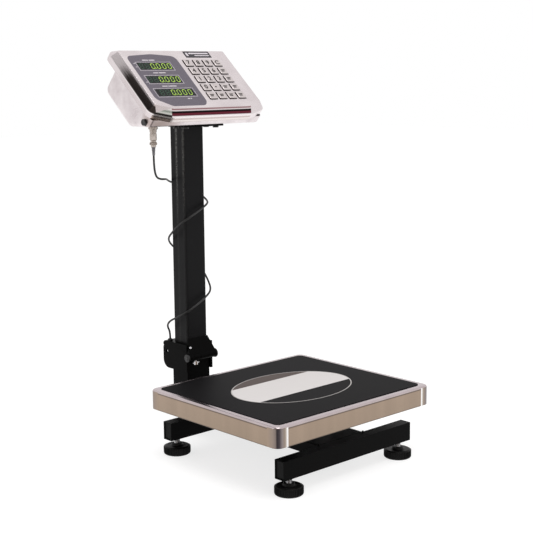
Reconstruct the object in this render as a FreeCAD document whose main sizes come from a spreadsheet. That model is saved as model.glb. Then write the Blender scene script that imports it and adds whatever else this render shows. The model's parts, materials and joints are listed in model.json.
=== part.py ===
import FreeCAD, Part
import Sketcher
import math
import os
import re

# Platform shipping scale with a folding mast and a tilted price-computing indicator.
# Millimetres, +Z up, the mast stands behind the platform (+Y), the keys face -Y.
# The origin is the centre of the footprint, on the floor.

Vector = FreeCAD.Vector
doc = FreeCAD.newDocument("platform_scale")
sheet = doc.addObject("Spreadsheet::Sheet", "Sizes")

# ---------------------------------------------------------------- driving sizes
SIZES = [
    # adjustable feet
    ("foot_radius", 22.5, "moulded foot disc"),
    ("foot_height", 14, "height of the foot disc"),
    ("hub_height", 4, "hub on top of the foot disc"),
    ("hub_radius", 9, "hub on top of the foot disc"),
    ("foot_gap", 8, "bare stud between hub and beam"),
    ("foot_inset", 19.5, "foot centres, in from the ends of the cross beams"),
    ("stud_radius", 5, "M10 levelling stud"),
    ("stud_embed", 10, "how deep the stud sits in the disc"),
    ("stud_spare", 20, "stud length inside the beam"),
    ("fit_gap", 0.05, "running clearance, radial"),
    ("part_gap", 0.4, "clearance between moving neighbours"),
    # frame
    ("beam_length", 285, "cross beams, left to right"),
    ("beam_width", 20, "cross beams, front to back"),
    ("beam_height", 30, "cross beams, upright"),
    ("beam_wall", 1.5, "cross beam wall"),
    ("front_beam_y", -207.4, "front beam centre line"),
    ("rear_beam_y", 60, "rear beam centre line"),
    ("plug_inset", 1.5, "plastic end plug below the beam's end"),
    ("plug_depth", 8, "plastic end plug"),
    ("spine_width", 100, "channel between the beams"),
    ("spine_height", 20, "channel between the beams"),
    ("spine_wall", 2.5, "channel wall"),
    ("post_width", 50, "fixed post under the hinge"),
    ("post_depth", 42, "fixed post under the hinge"),
    ("post_wall", 2.5, "fixed post wall"),
    ("post_height", 88, "fixed post above the frame"),
    ("post_y", 171, "post and column centre line"),
    # weighing gear under the pan
    ("cell_length", 150, "single point load cell"),
    ("cell_width", 34, "single point load cell"),
    ("cell_height", 28, "single point load cell"),
    ("cell_window", 16, "radius of the flexure holes"),
    ("spacer_length", 36, "spacer plates under and over the cell"),
    ("spacer_thick", 4, "spacer plates under and over the cell"),
    ("rail_width", 20, "pan support rails"),
    ("rail_height", 18, "pan support rails"),
    ("rail_wall", 1.5, "pan support rails"),
    ("rail_inset", 30, "support rail centre lines, in from the pan's sides"),
    ("rail_end", 15, "support rail ends, in from the pan's front and back"),
    ("pad_radius", 9, "rubber pads under the pan"),
    ("pad_height", 6, "rubber pads under the pan"),
    # pan
    ("pan_y", -83, "pan centre line"),
    ("pan_width", 342, "pan, left to right"),
    ("pan_depth", 302, "pan, front to back"),
    ("pan_skirt", 32, "pan height over its skirt"),
    ("pan_sheet", 1, "stainless sheet"),
    ("pan_corner", 8, "pan corner radius"),
    ("pan_round", 3, "round along the pan's top edge"),
    ("mat_inset", 11, "mat edge inside the pan's edge"),
    ("mat_thick", 1, "printed mat"),
    ("mat_corner", 6, "mat corner radius"),
    # hinge
    ("pivot_gap", 0.5, "knuckles in front of the fixed post"),
    ("pivot_z", 130, "hinge pin centre"),
    ("pin_radius", 4, "hinge pin"),
    ("knuckle_radius", 7, "hinge knuckles"),
    ("lug_left", -20, "fixed knuckle, left face"),
    ("lug_right", -6, "fixed knuckle, right face"),
    ("cheek_thick", 4, "yoke cheeks"),
    ("cheek_front", 147, "yoke cheeks, front edge"),
    ("cheek_back", 213, "yoke cheeks, rear edge"),
    ("cheek_low", 103, "yoke cheeks, lower edge"),
    ("cheek_round", 15, "yoke cheek corners"),
    ("lock_hole_y", 203, "lock hole in the cheeks"),
    ("lock_hole_z", 133, "lock hole in the cheeks"),
    ("lock_hole_radius", 3.2, "lock hole in the cheeks"),
    ("deck_thick", 7.6, "yoke deck under the column"),
    ("slope_rise", 10, "yoke slope up the column"),
    ("clamp_radius", 4, "clamp screw head"),
    ("clamp_height", 5.6, "clamp screw head"),
    ("clamp_gap", 1, "clamp screw head below the knuckle"),
    ("clamp_bar_radius", 1.7, "tommy bar"),
    ("clamp_bar_length", 14, "tommy bar"),
    # column and head plate
    ("column_width", 45, "mast tube"),
    ("column_depth", 38, "mast tube"),
    ("column_wall", 2, "mast tube"),
    ("column_corner", 4, "mast tube corner radius"),
    ("column_length", 380, "mast tube"),
    ("plate_width", 84, "plate that carries the head"),
    ("plate_depth", 46, "plate that carries the head"),
    ("plate_thick", 3, "plate that carries the head"),
    ("plate_back", 26, "plate centre in front of the column centre"),
    ("screw_radius", 2.5, "screws that hold the head"),
    ("screw_head", 3, "height of the screw heads"),
    ("screw_reach", 2.5, "screw tips above the box's floor"),
    ("screw_inset_x", 9, "screws in from the plate's ends"),
    ("screw_inset_y", 10, "screws in from the plate's front and back"),
    # head housing
    ("head_tilt", 41.5, "slope of the head's face from level, degrees"),
    ("head_drop", 69.4, "head plate up to the middle of the head's rim"),
    ("head_ahead", 10.5, "rim middle in front of the column centre"),
    ("head_width", 252, "head cover rim"),
    ("head_length", 164, "head cover rim, up the slope"),
    ("bevel", 11, "bevel round the head's face"),
    ("flange", 11, "straight edge behind the bevel"),
    ("head_sheet", 1, "stainless sheet"),
    ("head_corner", 14, "cover corner radius"),
    ("toe_side", 12.5, "cover's lower corners, up from the end"),
    ("toe_end", 40, "cover's lower corners, in from the side"),
    ("box_side", 5, "rear box side walls, in from the cover's rim"),
    ("box_depth", 60, "rear box behind the rim"),
    ("box_top", 52, "rear box, upper wall from the rim's middle"),
    ("box_toe", 76, "rear box, lower wall from the rim's middle"),
    ("box_round", 13, "rear box corner radius"),
    ("box_side_round", 6, "rear box, round along its side walls"),
    # keys and display
    ("key_size", 16.5, "key cap"),
    ("key_gap", 0.6, "gap round a key"),
    ("key_proud", 2.2, "key above the face"),
    ("key_depth", 8, "key cap height"),
    ("key_travel", 1.2, "key stroke"),
    ("key_x", 15.5, "first key column"),
    ("key_y", 38.6, "first key row"),
    ("key_pitch_x", 21.6, "key columns"),
    ("key_pitch_y", 20.8, "key rows"),
    ("overlay_left", -103.5, "display overlay"),
    ("overlay_right", -6.5, "display overlay"),
    ("overlay_top", 61, "display overlay"),
    ("overlay_low", -66, "display overlay"),
    ("overlay_thick", 0.4, "display overlay"),
    ("window_left", -93.5, "display windows"),
    ("window_height", 17, "display windows"),
    ("window_short", 63, "two upper display windows"),
    ("window_long", 71, "lower display window"),
    ("window_y1", 31.3, "upper window, centre"),
    ("window_y2", -2, "middle window, centre"),
    ("window_y3", -34.2, "lower window, centre"),
    ("board_thick", 1.6, "circuit boards"),
    ("module_height", 8, "display modules"),
    ("battery_x", 38, "battery centre"),
    ("battery_width", 97, "battery"),
    ("battery_height", 51, "battery"),
    ("battery_depth", 24, "battery"),
    # power button and lead
    ("button_radius", 5.4, "power button"),
    ("button_proud", 4, "power button outside the wall"),
    ("button_inner", 9, "power button inside the wall"),
    ("button_collar", 1, "power button's collar, wider than the button"),
    ("button_collar_thick", 2, "power button's collar"),
    ("button_travel", 1.5, "power button stroke"),
    ("button_up", 8, "button centre above the head's underside"),
    ("button_y", 128.5, "button centre"),
    ("lead_x", -92, "lead socket"),
    ("lead_y", 145, "lead socket"),
    ("socket_radius", 8, "socket flange nut"),
    ("socket_flange", 5, "socket flange nut"),
    ("socket_shell", 6, "threaded shell radius"),
    ("socket_inside", 12, "threaded shell above the head's underside"),
    ("plug_length", 29, "lead plug"),
    ("boot_length", 14, "grey boot behind the plug"),
    ("lead_radius", 1.75, "lead"),
    ("grommet_x", -25, "grommet on the yoke deck"),
    ("grommet_y", 198, "grommet on the yoke deck"),
    ("grommet_radius", 4.5, "grommet on the yoke deck"),
    ("grommet_height", 4, "grommet on the yoke deck"),
]

# sizes that follow from the ones above
DERIVED = [
    ("beam_z", "foot_height + hub_height + foot_gap"),
    ("frame_top", "beam_z + beam_height"),
    ("cell_z", "frame_top + spacer_thick"),
    ("rail_z", "cell_z + cell_height + spacer_thick"),
    ("pad_z", "rail_z + rail_height"),
    ("pan_top", "pad_z + pad_height + pan_sheet"),
    ("pan_low", "pan_top - pan_skirt"),
    ("foot_x", "beam_length / 2 - foot_inset"),
    ("rail_x", "pan_width / 2 - rail_inset"),
    ("rail_length", "pan_depth - 2 * rail_end"),
    ("box_width", "head_width - 2 * box_side"),
    ("pivot_y", "post_y - post_depth / 2 - pivot_gap - knuckle_radius"),
    ("post_top", "frame_top + post_height"),
    ("deck_z", "post_top + part_gap"),
    ("column_z", "deck_z + deck_thick"),
    ("plate_z", "column_z + column_length"),
    ("head_z", "plate_z + plate_thick"),
    ("rim_z", "head_z + head_drop"),
    ("rim_y", "post_y - head_ahead"),
    ("cheek_x", "post_width / 2 + part_gap"),
    ("spine_front", "front_beam_y + beam_width / 2"),
    ("spine_back", "post_y + post_depth / 2"),
]

for row, (alias, size, note) in enumerate(SIZES, start=1):
    sheet.set("A%d" % row, note)
    sheet.set("B%d" % row, str(size))
    sheet.setAlias("B%d" % row, alias)
for row, (alias, formula) in enumerate(DERIVED, start=len(SIZES) + 1):
    sheet.set("A%d" % row, "follows from the sizes above")
    sheet.set("B%d" % row, "=" + formula)
    sheet.setAlias("B%d" % row, alias)
doc.recompute()

ALIASES = [entry[0] for entry in SIZES] + [entry[0] for entry in DERIVED]
ALIAS_WORD = re.compile(r"\b(" + "|".join(sorted(ALIASES, key=len, reverse=True)) + r")\b")


# ---------------------------------------------------------------- helpers
def linked(text):
    """An expression in alias words, turned into one that names the sheet."""
    return ALIAS_WORD.sub(r"Sizes.\1", str(text))


def size(text):
    """The number that an expression in alias words gives now."""
    return float(sheet.evalExpression(str(text)))


def bind(item, prop, text):
    item.setExpression(prop, linked(text))


def place(item, x="0", y="0", z="0"):
    for axis, text in zip("xyz", (x, y, z)):
        bind(item, "Placement.Base." + axis, text)


def box(name, length, width, height, x, y, z):
    """A box given by its sizes, its centre in x and y, and its underside."""
    item = doc.addObject("Part::Box", name)
    bind(item, "Length", length)
    bind(item, "Width", width)
    bind(item, "Height", height)
    place(item, "%s - (%s) / 2" % (x, length), "%s - (%s) / 2" % (y, width), z)
    return item


TURNS = {
    "z": FreeCAD.Rotation(),
    "x": FreeCAD.Rotation(Vector(0, 1, 0), 90),
    "-y": FreeCAD.Rotation(Vector(1, 0, 0), 90),
}


def rod(name, radius, length, x, y, z, along="z"):
    """A cylinder from its start point along one axis."""
    item = doc.addObject("Part::Cylinder", name)
    bind(item, "Radius", radius)
    bind(item, "Height", length)
    item.Placement = FreeCAD.Placement(Vector(), TURNS[along])
    place(item, x, y, z)
    return item


def cut(name, base, tool):
    item = doc.addObject("Part::Cut", name)
    item.Base = base
    item.Tool = tool
    return item


def fuse(name, pieces):
    item = doc.addObject("Part::MultiFuse", name)
    item.Shapes = pieces
    item.Refine = True
    return item


def group(name, pieces):
    """Separate solids of one kind, kept together as one sub-part."""
    item = doc.addObject("Part::Compound", name)
    item.Links = pieces
    return item


def body(name):
    return doc.addObject("PartDesign::Body", name)


def origin_plane(owner, role):
    return [item for item in owner.Origin.OriginFeatures if item.Role == role][0]


def outline(owner, name, role, corners, lift=None):
    """A closed polygon sketch whose corner coordinates are expressions."""
    sketch = owner.newObject("Sketcher::SketchObject", name)
    sketch.AttachmentSupport = (origin_plane(owner, role), "")
    sketch.MapMode = "FlatFace"
    if lift is not None:
        bind(sketch, "AttachmentOffset.Base.z", lift)
    places = [Vector(size(x), size(y), 0) for x, y in corners]
    count = len(places)
    for index in range(count):
        sketch.addGeometry(Part.LineSegment(places[index], places[(index + 1) % count]))
    for index in range(count):
        sketch.addConstraint(Sketcher.Constraint("Coincident", index, 2, (index + 1) % count, 1))
    for index, (x, y) in enumerate(corners):
        for kind, text, value in (("DistanceX", x, places[index].x), ("DistanceY", y, places[index].y)):
            number = sketch.addConstraint(Sketcher.Constraint(kind, index, 1, value))
            sketch.setExpression("Constraints[%d]" % number, linked(text))
    return sketch


def pad(owner, name, sketch, length, middle=False):
    item = owner.newObject("PartDesign::Pad", name)
    item.Profile = sketch
    bind(item, "Length", length)
    item.Midplane = middle
    doc.recompute()
    return item


def edges_where(shape, test):
    return ["Edge%d" % (index + 1) for index, edge in enumerate(shape.Edges) if test(edge)]


def along_axis(edge, axis):
    """True for a straight edge that runs along the axis number."""
    if edge.Curve.TypeId != "Part::GeomLine":
        return False
    run = edge.Vertexes[-1].Point - edge.Vertexes[0].Point
    return abs(abs(run[axis]) - run.Length) < 1e-6 and run.Length > 1e-6


def fillet(owner, name, base, test, radius):
    item = owner.newObject("PartDesign::Fillet", name)
    item.Base = (base, edges_where(base.Shape, test))
    bind(item, "Radius", radius)
    doc.recompute()
    return item


def chamfer(owner, name, base, test, leg):
    item = owner.newObject("PartDesign::Chamfer", name)
    item.Base = (base, edges_where(base.Shape, test))
    bind(item, "Size", leg)
    doc.recompute()
    return item


def rectangle(half_x, half_y):
    return [("-(%s)" % half_x, "-(%s)" % half_y), (half_x, "-(%s)" % half_y),
            (half_x, half_y), ("-(%s)" % half_x, half_y)]


NODES = []


def node(item, label=None):
    """Marks an object as a finished sub-part; its label is the node's name."""
    item.Label = label or item.Name
    NODES.append(item)
    return item


# ---------------------------------------------------------------- levelling feet
FOOT_PLACES = [
    ("front_left", "-foot_x", "front_beam_y"),
    ("front_right", "foot_x", "front_beam_y"),
    ("rear_left", "-foot_x", "rear_beam_y"),
    ("rear_right", "foot_x", "rear_beam_y"),
]
STUD_FOOT = "foot_height + hub_height - stud_embed"


def foot_disc(place_name, x, y):
    """Moulded disc with a waist, a hub and a blind bore for the stud."""
    disc = body("disc_" + place_name)
    half = outline(disc, "half_" + place_name, "XZ_Plane", [
        ("0", "0"), ("foot_radius - 1", "0"), ("foot_radius", "1"),
        ("foot_radius", "foot_height - 2"), ("foot_radius - 2.5", "foot_height"),
        ("hub_radius + 1", "foot_height + 1"), ("hub_radius", "foot_height + hub_height"),
        ("stud_radius + fit_gap", "foot_height + hub_height"),
        ("stud_radius + fit_gap", STUD_FOOT + " - fit_gap"), ("0", STUD_FOOT + " - fit_gap")])
    turned = disc.newObject("PartDesign::Revolution", "turned_" + place_name)
    turned.Profile = half
    turned.ReferenceAxis = (half, ["V_Axis"])
    turned.Angle = 360
    place(disc, x, y)
    node(disc, "foot_disc_" + place_name)


for place_name, x, y in FOOT_PLACES:
    foot_disc(place_name, x, y)
    stud = rod("stud_" + place_name, "stud_radius", "stud_embed + foot_gap + stud_spare", x, y, STUD_FOOT)
    node(stud, "foot_stud_" + place_name)


# ---------------------------------------------------------------- frame
def cross_beam(name, y):
    """Rectangular tube with a clearance hole for each foot's stud."""
    outer = box(name + "_outer", "beam_length", "beam_width", "beam_height", "0", y, "beam_z")
    bore = box(name + "_bore", "beam_length + 2", "beam_width - 2 * beam_wall",
               "beam_height - 2 * beam_wall", "0", y, "beam_z + beam_wall")
    tube = cut(name + "_tube", outer, bore)
    holes = [rod("%s_hole_%s" % (name, side), "stud_radius + part_gap", "beam_wall + 2", x, y,
                 "beam_z - 1")
             for side, x in (("left", "-foot_x"), ("right", "foot_x"))]
    return cut(name, tube, group(name + "_holes", holes))


node(cross_beam("front_beam", "front_beam_y"))
node(cross_beam("rear_beam", "rear_beam_y"))

plugs = []
for beam_name, y in (("front", "front_beam_y"), ("rear", "rear_beam_y")):
    for side, sign in (("left", "-1"), ("right", "1")):
        plugs.append(box("plug_%s_%s" % (beam_name, side), "plug_depth", "beam_width - 2 * beam_wall",
                         "beam_height - 2 * beam_wall",
                         "%s * (beam_length / 2 - plug_inset - plug_depth / 2)" % sign, y,
                         "beam_z + beam_wall"))
node(group("beam_end_plugs", plugs))


def hexagon_nut(name, across, height, bore, x, y, z):
    """Hexagon nut, across flats given, with its bore."""
    prism = doc.addObject("Part::Prism", name + "_hexagon")
    prism.Polygon = 6
    bind(prism, "Circumradius", "(%s) / 2 / cos(30)" % across)
    bind(prism, "Height", height)
    place(prism, x, y, z)
    return cut(name, prism, rod(name + "_bore", bore, "(%s) + 2" % height, x, y, "(%s) - 1" % z))


NUT_ACROSS = "3.2 * stud_radius"
node(group("foot_nuts", [
    hexagon_nut("nut_" + place_name, NUT_ACROSS, "1.6 * stud_radius", "stud_radius + fit_gap", x, y,
                "beam_z + beam_wall") for place_name, x, y in FOOT_PLACES]))


def channel(name, y_from, y_to):
    """Folded channel, open side down, between two values of y."""
    length = "(%s) - (%s)" % (y_to, y_from)
    middle = "((%s) + (%s)) / 2" % (y_to, y_from)
    outer = box(name + "_outer", "spine_width", length, "spine_height", "0", middle,
                "frame_top - spine_height")
    hollow = box(name + "_hollow", "spine_width - 2 * spine_wall", length + " + 2", "spine_height", "0",
                 middle, "frame_top - spine_height - spine_wall")
    return cut(name, outer, hollow)


# the rear beam crosses the spine, so the channel is welded on in two lengths
node(group("spine", [channel("spine_ahead", "spine_front", "rear_beam_y - beam_width / 2"),
                     channel("spine_behind", "rear_beam_y + beam_width / 2", "spine_back")]))

post_outer = box("post_outer", "post_width", "post_depth", "post_height", "0", "post_y", "frame_top")
post_bore = box("post_bore", "post_width - 2 * post_wall", "post_depth - 2 * post_wall", "post_height + 2",
                "0", "post_y", "frame_top - 1")
node(cut("post", post_outer, post_bore))

# ---------------------------------------------------------------- weighing gear
cell_block = box("cell_block", "cell_width", "cell_length", "cell_height", "0", "pan_y", "cell_z")
cell_holes = [rod("cell_hole_%d" % (number + 1), "cell_window / 2", "cell_width + 2", "-cell_width / 2 - 1",
                  "pan_y + %s * cell_window * 0.62" % sign, "cell_z + cell_height / 2", "x")
              for number, sign in enumerate(("-1", "1"))]
node(cut("load_cell", cell_block, fuse("cell_holes", cell_holes)))

SPACER_REACH = "(cell_length - spacer_length) / 2"
node(group("cell_spacers", [
    box("spacer_low", "cell_width + 22", "spacer_length", "spacer_thick", "0", "pan_y + " + SPACER_REACH,
        "frame_top"),
    box("spacer_high", "cell_width + 22", "spacer_length", "spacer_thick", "0", "pan_y - " + SPACER_REACH,
        "cell_z + cell_height")]))


def rail_tube(name, length, width, x, y):
    outer = box(name + "_outer", length, width, "rail_height", x, y, "rail_z")
    along_x = size(length) > size(width)
    inner_length = length + " + 2" if along_x else length + " - 2 * rail_wall"
    inner_width = width + " - 2 * rail_wall" if along_x else width + " + 2"
    bore = box(name + "_bore", inner_length, inner_width, "rail_height - 2 * rail_wall", x, y,
               "rail_z + rail_wall")
    return cut(name, outer, bore)


node(group("support_rails", [
    rail_tube("rail_" + side, "rail_width", "rail_length", x, "pan_y")
    for side, x in (("left", "-rail_x"), ("right", "rail_x"))]))
CROSSBAR_SPAN = "2 * rail_x - rail_width"
node(group("support_crossbars", [
    rail_tube("crossbar_" + side, CROSSBAR_SPAN, "2 * rail_width", "0",
              "pan_y %s (cell_length - 2 * rail_width) / 2" % sign)
    for side, sign in (("front", "-"), ("rear", "+"))]))
PAD_Y = "(rail_length / 2 - pad_radius - 2)"
node(group("pan_pads", [
    rod("pad_%s_%s" % (end, side), "pad_radius", "pad_height", x, "pan_y %s %s" % (sign, PAD_Y), "pad_z")
    for side, x in (("left", "-rail_x"), ("right", "rail_x"))
    for end, sign in (("front", "-"), ("rear", "+"))]))

# ---------------------------------------------------------------- pan and mat
def pan_block(name, inset, top_drop):
    """The pan's outside, or its inside when it is inset by the sheet."""
    block = body(name)
    sketch = outline(block, name + "_plan", "XY_Plane",
                     rectangle("pan_width / 2 - %s" % inset, "pan_depth / 2 - %s" % inset))
    raised = pad(block, name + "_raised", sketch, "pan_skirt - %s" % top_drop)
    cornered = fillet(block, name + "_corners", raised, lambda edge: along_axis(edge, 2),
                      "pan_corner - %s" % inset)
    top = size("pan_skirt - %s" % top_drop)
    fillet(block, name + "_rim", cornered,
           lambda edge: all(abs(vertex.Z - top) < 1e-6 for vertex in edge.Vertexes),
           "pan_round - %s" % inset)
    place(block, "0", "pan_y", "pan_low")
    return block


node(cut("pan", pan_block("pan_shell", "0", "0"), pan_block("pan_hollow", "pan_sheet", "pan_sheet")))

mat = body("mat")
mat_plan = outline(mat, "mat_plan", "XY_Plane",
                   rectangle("pan_width / 2 - mat_inset", "pan_depth / 2 - mat_inset"))
mat_raised = pad(mat, "mat_raised", mat_plan, "mat_thick")
fillet(mat, "mat_corners", mat_raised, lambda edge: along_axis(edge, 2), "mat_corner")
place(mat, "0", "pan_y", "pan_top")
node(mat, "pan_mat")

# ---------------------------------------------------------------- hinge
LUG_LENGTH = "lug_right - lug_left"
LUG_MIDDLE = "(lug_left + lug_right) / 2"
POST_FRONT = "post_y - post_depth / 2"
lug_round = rod("lug_round", "knuckle_radius", LUG_LENGTH, "lug_left", "pivot_y", "pivot_z", "x")
lug_web = box("lug_web", LUG_LENGTH, POST_FRONT + " - pivot_y", "2 * knuckle_radius", LUG_MIDDLE,
              "(pivot_y + " + POST_FRONT + ") / 2", "pivot_z - knuckle_radius")
lug_bore = rod("lug_bore", "pin_radius", LUG_LENGTH + " + 2", "lug_left - 1", "pivot_y", "pivot_z", "x")
clamp_bore = rod("clamp_bore", "clamp_radius / 2 + fit_gap", "knuckle_radius + clamp_gap", LUG_MIDDLE,
                 "pivot_y", "pivot_z - knuckle_radius - clamp_gap")
node(cut("hinge_lug", fuse("lug_solid", [lug_round, lug_web]), group("lug_bores", [lug_bore, clamp_bore])))

# the clamp screw hangs under the lug; its bar turns it
CLAMP_TOP = "pivot_z - knuckle_radius - clamp_gap"
clamp_shank = rod("clamp_shank", "clamp_radius / 2", "knuckle_radius - pin_radius + clamp_gap - part_gap",
                  LUG_MIDDLE, "pivot_y", CLAMP_TOP)
clamp_head = rod("clamp_head", "clamp_radius", "clamp_height", LUG_MIDDLE, "pivot_y",
                 CLAMP_TOP + " - clamp_height")
clamp_bar = rod("clamp_bar", "clamp_bar_radius", "clamp_bar_length", LUG_MIDDLE + " - clamp_bar_length / 2",
                "pivot_y", CLAMP_TOP + " - clamp_height / 2", "x")
node(fuse("clamp_screw", [clamp_shank, clamp_head, clamp_bar]))

PIN_END = "cheek_x + cheek_thick"
PIN_HEAD = "2.5"
pin_shank = rod("pin_shank", "pin_radius", "2 * (%s) + 2 * part_gap + 4" % PIN_END,
                "-(%s) - part_gap - 4" % PIN_END, "pivot_y", "pivot_z", "x")
pin_head = rod("pin_head", "2 * pin_radius", PIN_HEAD, PIN_END + " + part_gap", "pivot_y", "pivot_z", "x")
nut_outer = rod("pin_nut_outer", "1.7 * pin_radius", "3.2", "-(%s) - part_gap - 3.2" % PIN_END, "pivot_y",
                "pivot_z", "x")
nut_bore = rod("pin_nut_bore", "pin_radius", "6", "-(%s) - part_gap - 4" % PIN_END, "pivot_y",
               "pivot_z", "x")
node(group("pivot_bolt", [fuse("pin_solid", [pin_shank, pin_head]), cut("pin_nut", nut_outer, nut_bore)]))


def yoke_cheek(side, low_x):
    """One side plate of the yoke, with rounded rear corners and the lock hole."""
    cheek = body("cheek_" + side)
    sketch = outline(cheek, "cheek_plan_" + side, "YZ_Plane", [
        ("cheek_front", "cheek_low"), ("cheek_back", "cheek_low"),
        ("cheek_back", "column_z"), ("cheek_front", "column_z")])
    plate = pad(cheek, "cheek_plate_" + side, sketch, "cheek_thick")
    rear = size("cheek_back")
    fillet(cheek, "cheek_round_" + side, plate,
           lambda edge: along_axis(edge, 0) and abs(edge.Vertexes[0].Y - rear) < 1e-6, "cheek_round")
    place(cheek, low_x)
    hole = rod("lock_hole_" + side, "lock_hole_radius", "cheek_thick + 2", "(%s) - 1" % low_x,
               "lock_hole_y", "lock_hole_z", "x")
    return cut("cheek_drilled_" + side, cheek, hole)


COLUMN_FRONT = "post_y - column_depth / 2"
deck = body("deck")
deck_plan = outline(deck, "deck_plan", "YZ_Plane", [
    (COLUMN_FRONT, "deck_z"), ("cheek_back", "deck_z"), ("cheek_back", "column_z"),
    (COLUMN_FRONT, "column_z")])
deck_raised = pad(deck, "deck_raised", deck_plan, "2 * (%s)" % PIN_END, middle=True)
deck_rear = size("cheek_back")
deck_height = size("column_z")
fillet(deck, "deck_round", deck_raised,
       lambda edge: (along_axis(edge, 0) and abs(edge.Vertexes[0].Y - deck_rear) < 1e-6
                     and abs(edge.Vertexes[0].Z - deck_height) < 1e-6), "deck_thick - 0.6")

# the slope runs from the column's front face down to the knuckles, and widens on the way
slope = body("slope")
slope_plan = outline(slope, "slope_plan", "YZ_Plane", [
    (COLUMN_FRONT, "deck_z"), (COLUMN_FRONT, "column_z + slope_rise"),
    ("pivot_y - knuckle_radius * 0.71", "pivot_z + knuckle_radius * 0.71"),
    ("pivot_y", "pivot_z"), ("cheek_front", "pivot_z + knuckle_radius * 0.8")])
pad(slope, "slope_raised", slope_plan, "2 * (%s)" % PIN_END, middle=True)


def slope_trim(side, sign):
    """What comes off one upper corner of the slope."""
    trim = body("slope_trim_" + side)
    wide = "%s * (%s)" % (sign, PIN_END)
    narrow = "%s * column_width / 2" % sign
    sketch = outline(trim, "slope_trim_plan_" + side, "XZ_Plane", [
        (wide, "pivot_z + knuckle_radius"), (narrow, "column_z + slope_rise"),
        (narrow, "column_z + slope_rise + 1"), (wide + " + %s" % sign, "column_z + slope_rise + 1"),
        (wide + " + %s" % sign, "pivot_z + knuckle_radius")])
    pad(trim, "slope_trim_block_" + side, sketch, "2 * post_depth", middle=True)
    place(trim, "0", "pivot_y")
    return trim


slope_trims = [slope_trim("left", "-1"), slope_trim("right", "1")]
slope_cut = cut("slope_cut", slope, group("slope_trims", slope_trims))
knuckle_bar = rod("knuckle_bar", "knuckle_radius", "2 * (%s)" % PIN_END, "-(%s)" % PIN_END,
                  "pivot_y", "pivot_z", "x")
yoke_solid = fuse("yoke_solid", [yoke_cheek("left", "-(%s)" % PIN_END), yoke_cheek("right", "cheek_x"),
                                 deck, slope_cut, knuckle_bar])
# room for the fixed lug and for the pin
lug_room = rod("lug_room", "knuckle_radius + part_gap", LUG_LENGTH + " + 2 * part_gap",
               "lug_left - part_gap", "pivot_y", "pivot_z", "x")
lug_web_room = box("lug_web_room", LUG_LENGTH + " + 2 * part_gap", "2 * knuckle_radius + 2",
                   "2 * knuckle_radius + 2 * part_gap", LUG_MIDDLE, "pivot_y + knuckle_radius + 1",
                   "pivot_z - knuckle_radius - part_gap")
post_room = box("post_room", "post_width + 2 * part_gap", "post_depth + 2 * part_gap", "post_height",
                "0", "post_y", "frame_top + part_gap")
pin_room = rod("pin_room", "pin_radius + fit_gap", "2 * (%s) + 2" % PIN_END, "-(%s) - 1" % PIN_END,
               "pivot_y", "pivot_z", "x")
node(cut("hinge_yoke", yoke_solid, group("yoke_rooms", [lug_room, lug_web_room, post_room, pin_room])))

# ---------------------------------------------------------------- column and head plate
def tube_section(name, inset):
    section = body(name)
    sketch = outline(section, name + "_plan", "XY_Plane",
                     rectangle("column_width / 2 - %s" % inset, "column_depth / 2 - %s" % inset))
    raised = pad(section, name + "_raised", sketch, "column_length")
    fillet(section, name + "_corners", raised, lambda edge: along_axis(edge, 2),
           "column_corner - %s" % inset)
    place(section, "0", "post_y", "column_z")
    return section


node(cut("column", tube_section("column_outer", "0"), tube_section("column_bore", "column_wall")))

plate_screw_places = [("%s (plate_width / 2 - screw_inset_x)" % side,
                       "post_y - plate_back %s (plate_depth / 2 - screw_inset_y)" % end)
                      for side in "-+" for end in "-+"]
plate_wings = box("plate_wings", "plate_width", "plate_depth", "plate_thick", "0", "post_y - plate_back",
                  "plate_z")
plate_tongue = box("plate_tongue", "column_width", "column_depth", "plate_thick", "0", "post_y", "plate_z")
plate_blank = fuse("plate_blank", [plate_wings, plate_tongue])
plate_holes = [rod("plate_hole_%d" % (index + 1), "screw_radius", "plate_thick + 2", x, y, "plate_z - 1")
               for index, (x, y) in enumerate(plate_screw_places)]
node(cut("head_plate", plate_blank, group("plate_holes", plate_holes)))
head_screws = []
for index, (x, y) in enumerate(plate_screw_places):
    shank = rod("screw_shank_%d" % (index + 1), "screw_radius", "plate_thick + head_sheet + screw_reach",
                x, y, "plate_z")
    head = rod("screw_head_%d" % (index + 1), "2 * screw_radius", "screw_head", x, y,
               "plate_z - screw_head")
    head_screws.append(fuse("head_screw_%d" % (index + 1), [shank, head]))
node(group("head_screws", head_screws))

# ---------------------------------------------------------------- head
# Head pieces are drawn flat, with the rim's middle at the origin, local x to the right,
# local y up the slope and local z out of the face, and are then tilted together.
def tilt(item):
    """Lays a flat head piece on the sloping face."""
    item.Placement = FreeCAD.Placement(Vector(), FreeCAD.Rotation(Vector(1, 0, 0), 1))
    bind(item, "Placement.Rotation.Angle", "head_tilt")
    place(item, "0", "rim_y", "rim_z")
    return item


def flat_box(name, left, right, low, high, back, front):
    """A box in the head's own directions."""
    item = body(name)
    sketch = outline(item, name + "_plan", "XY_Plane",
                     [(left, low), (right, low), (right, high), (left, high)], lift=back)
    pad(item, name + "_raised", sketch, "(%s) - (%s)" % (front, back))
    return item


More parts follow.
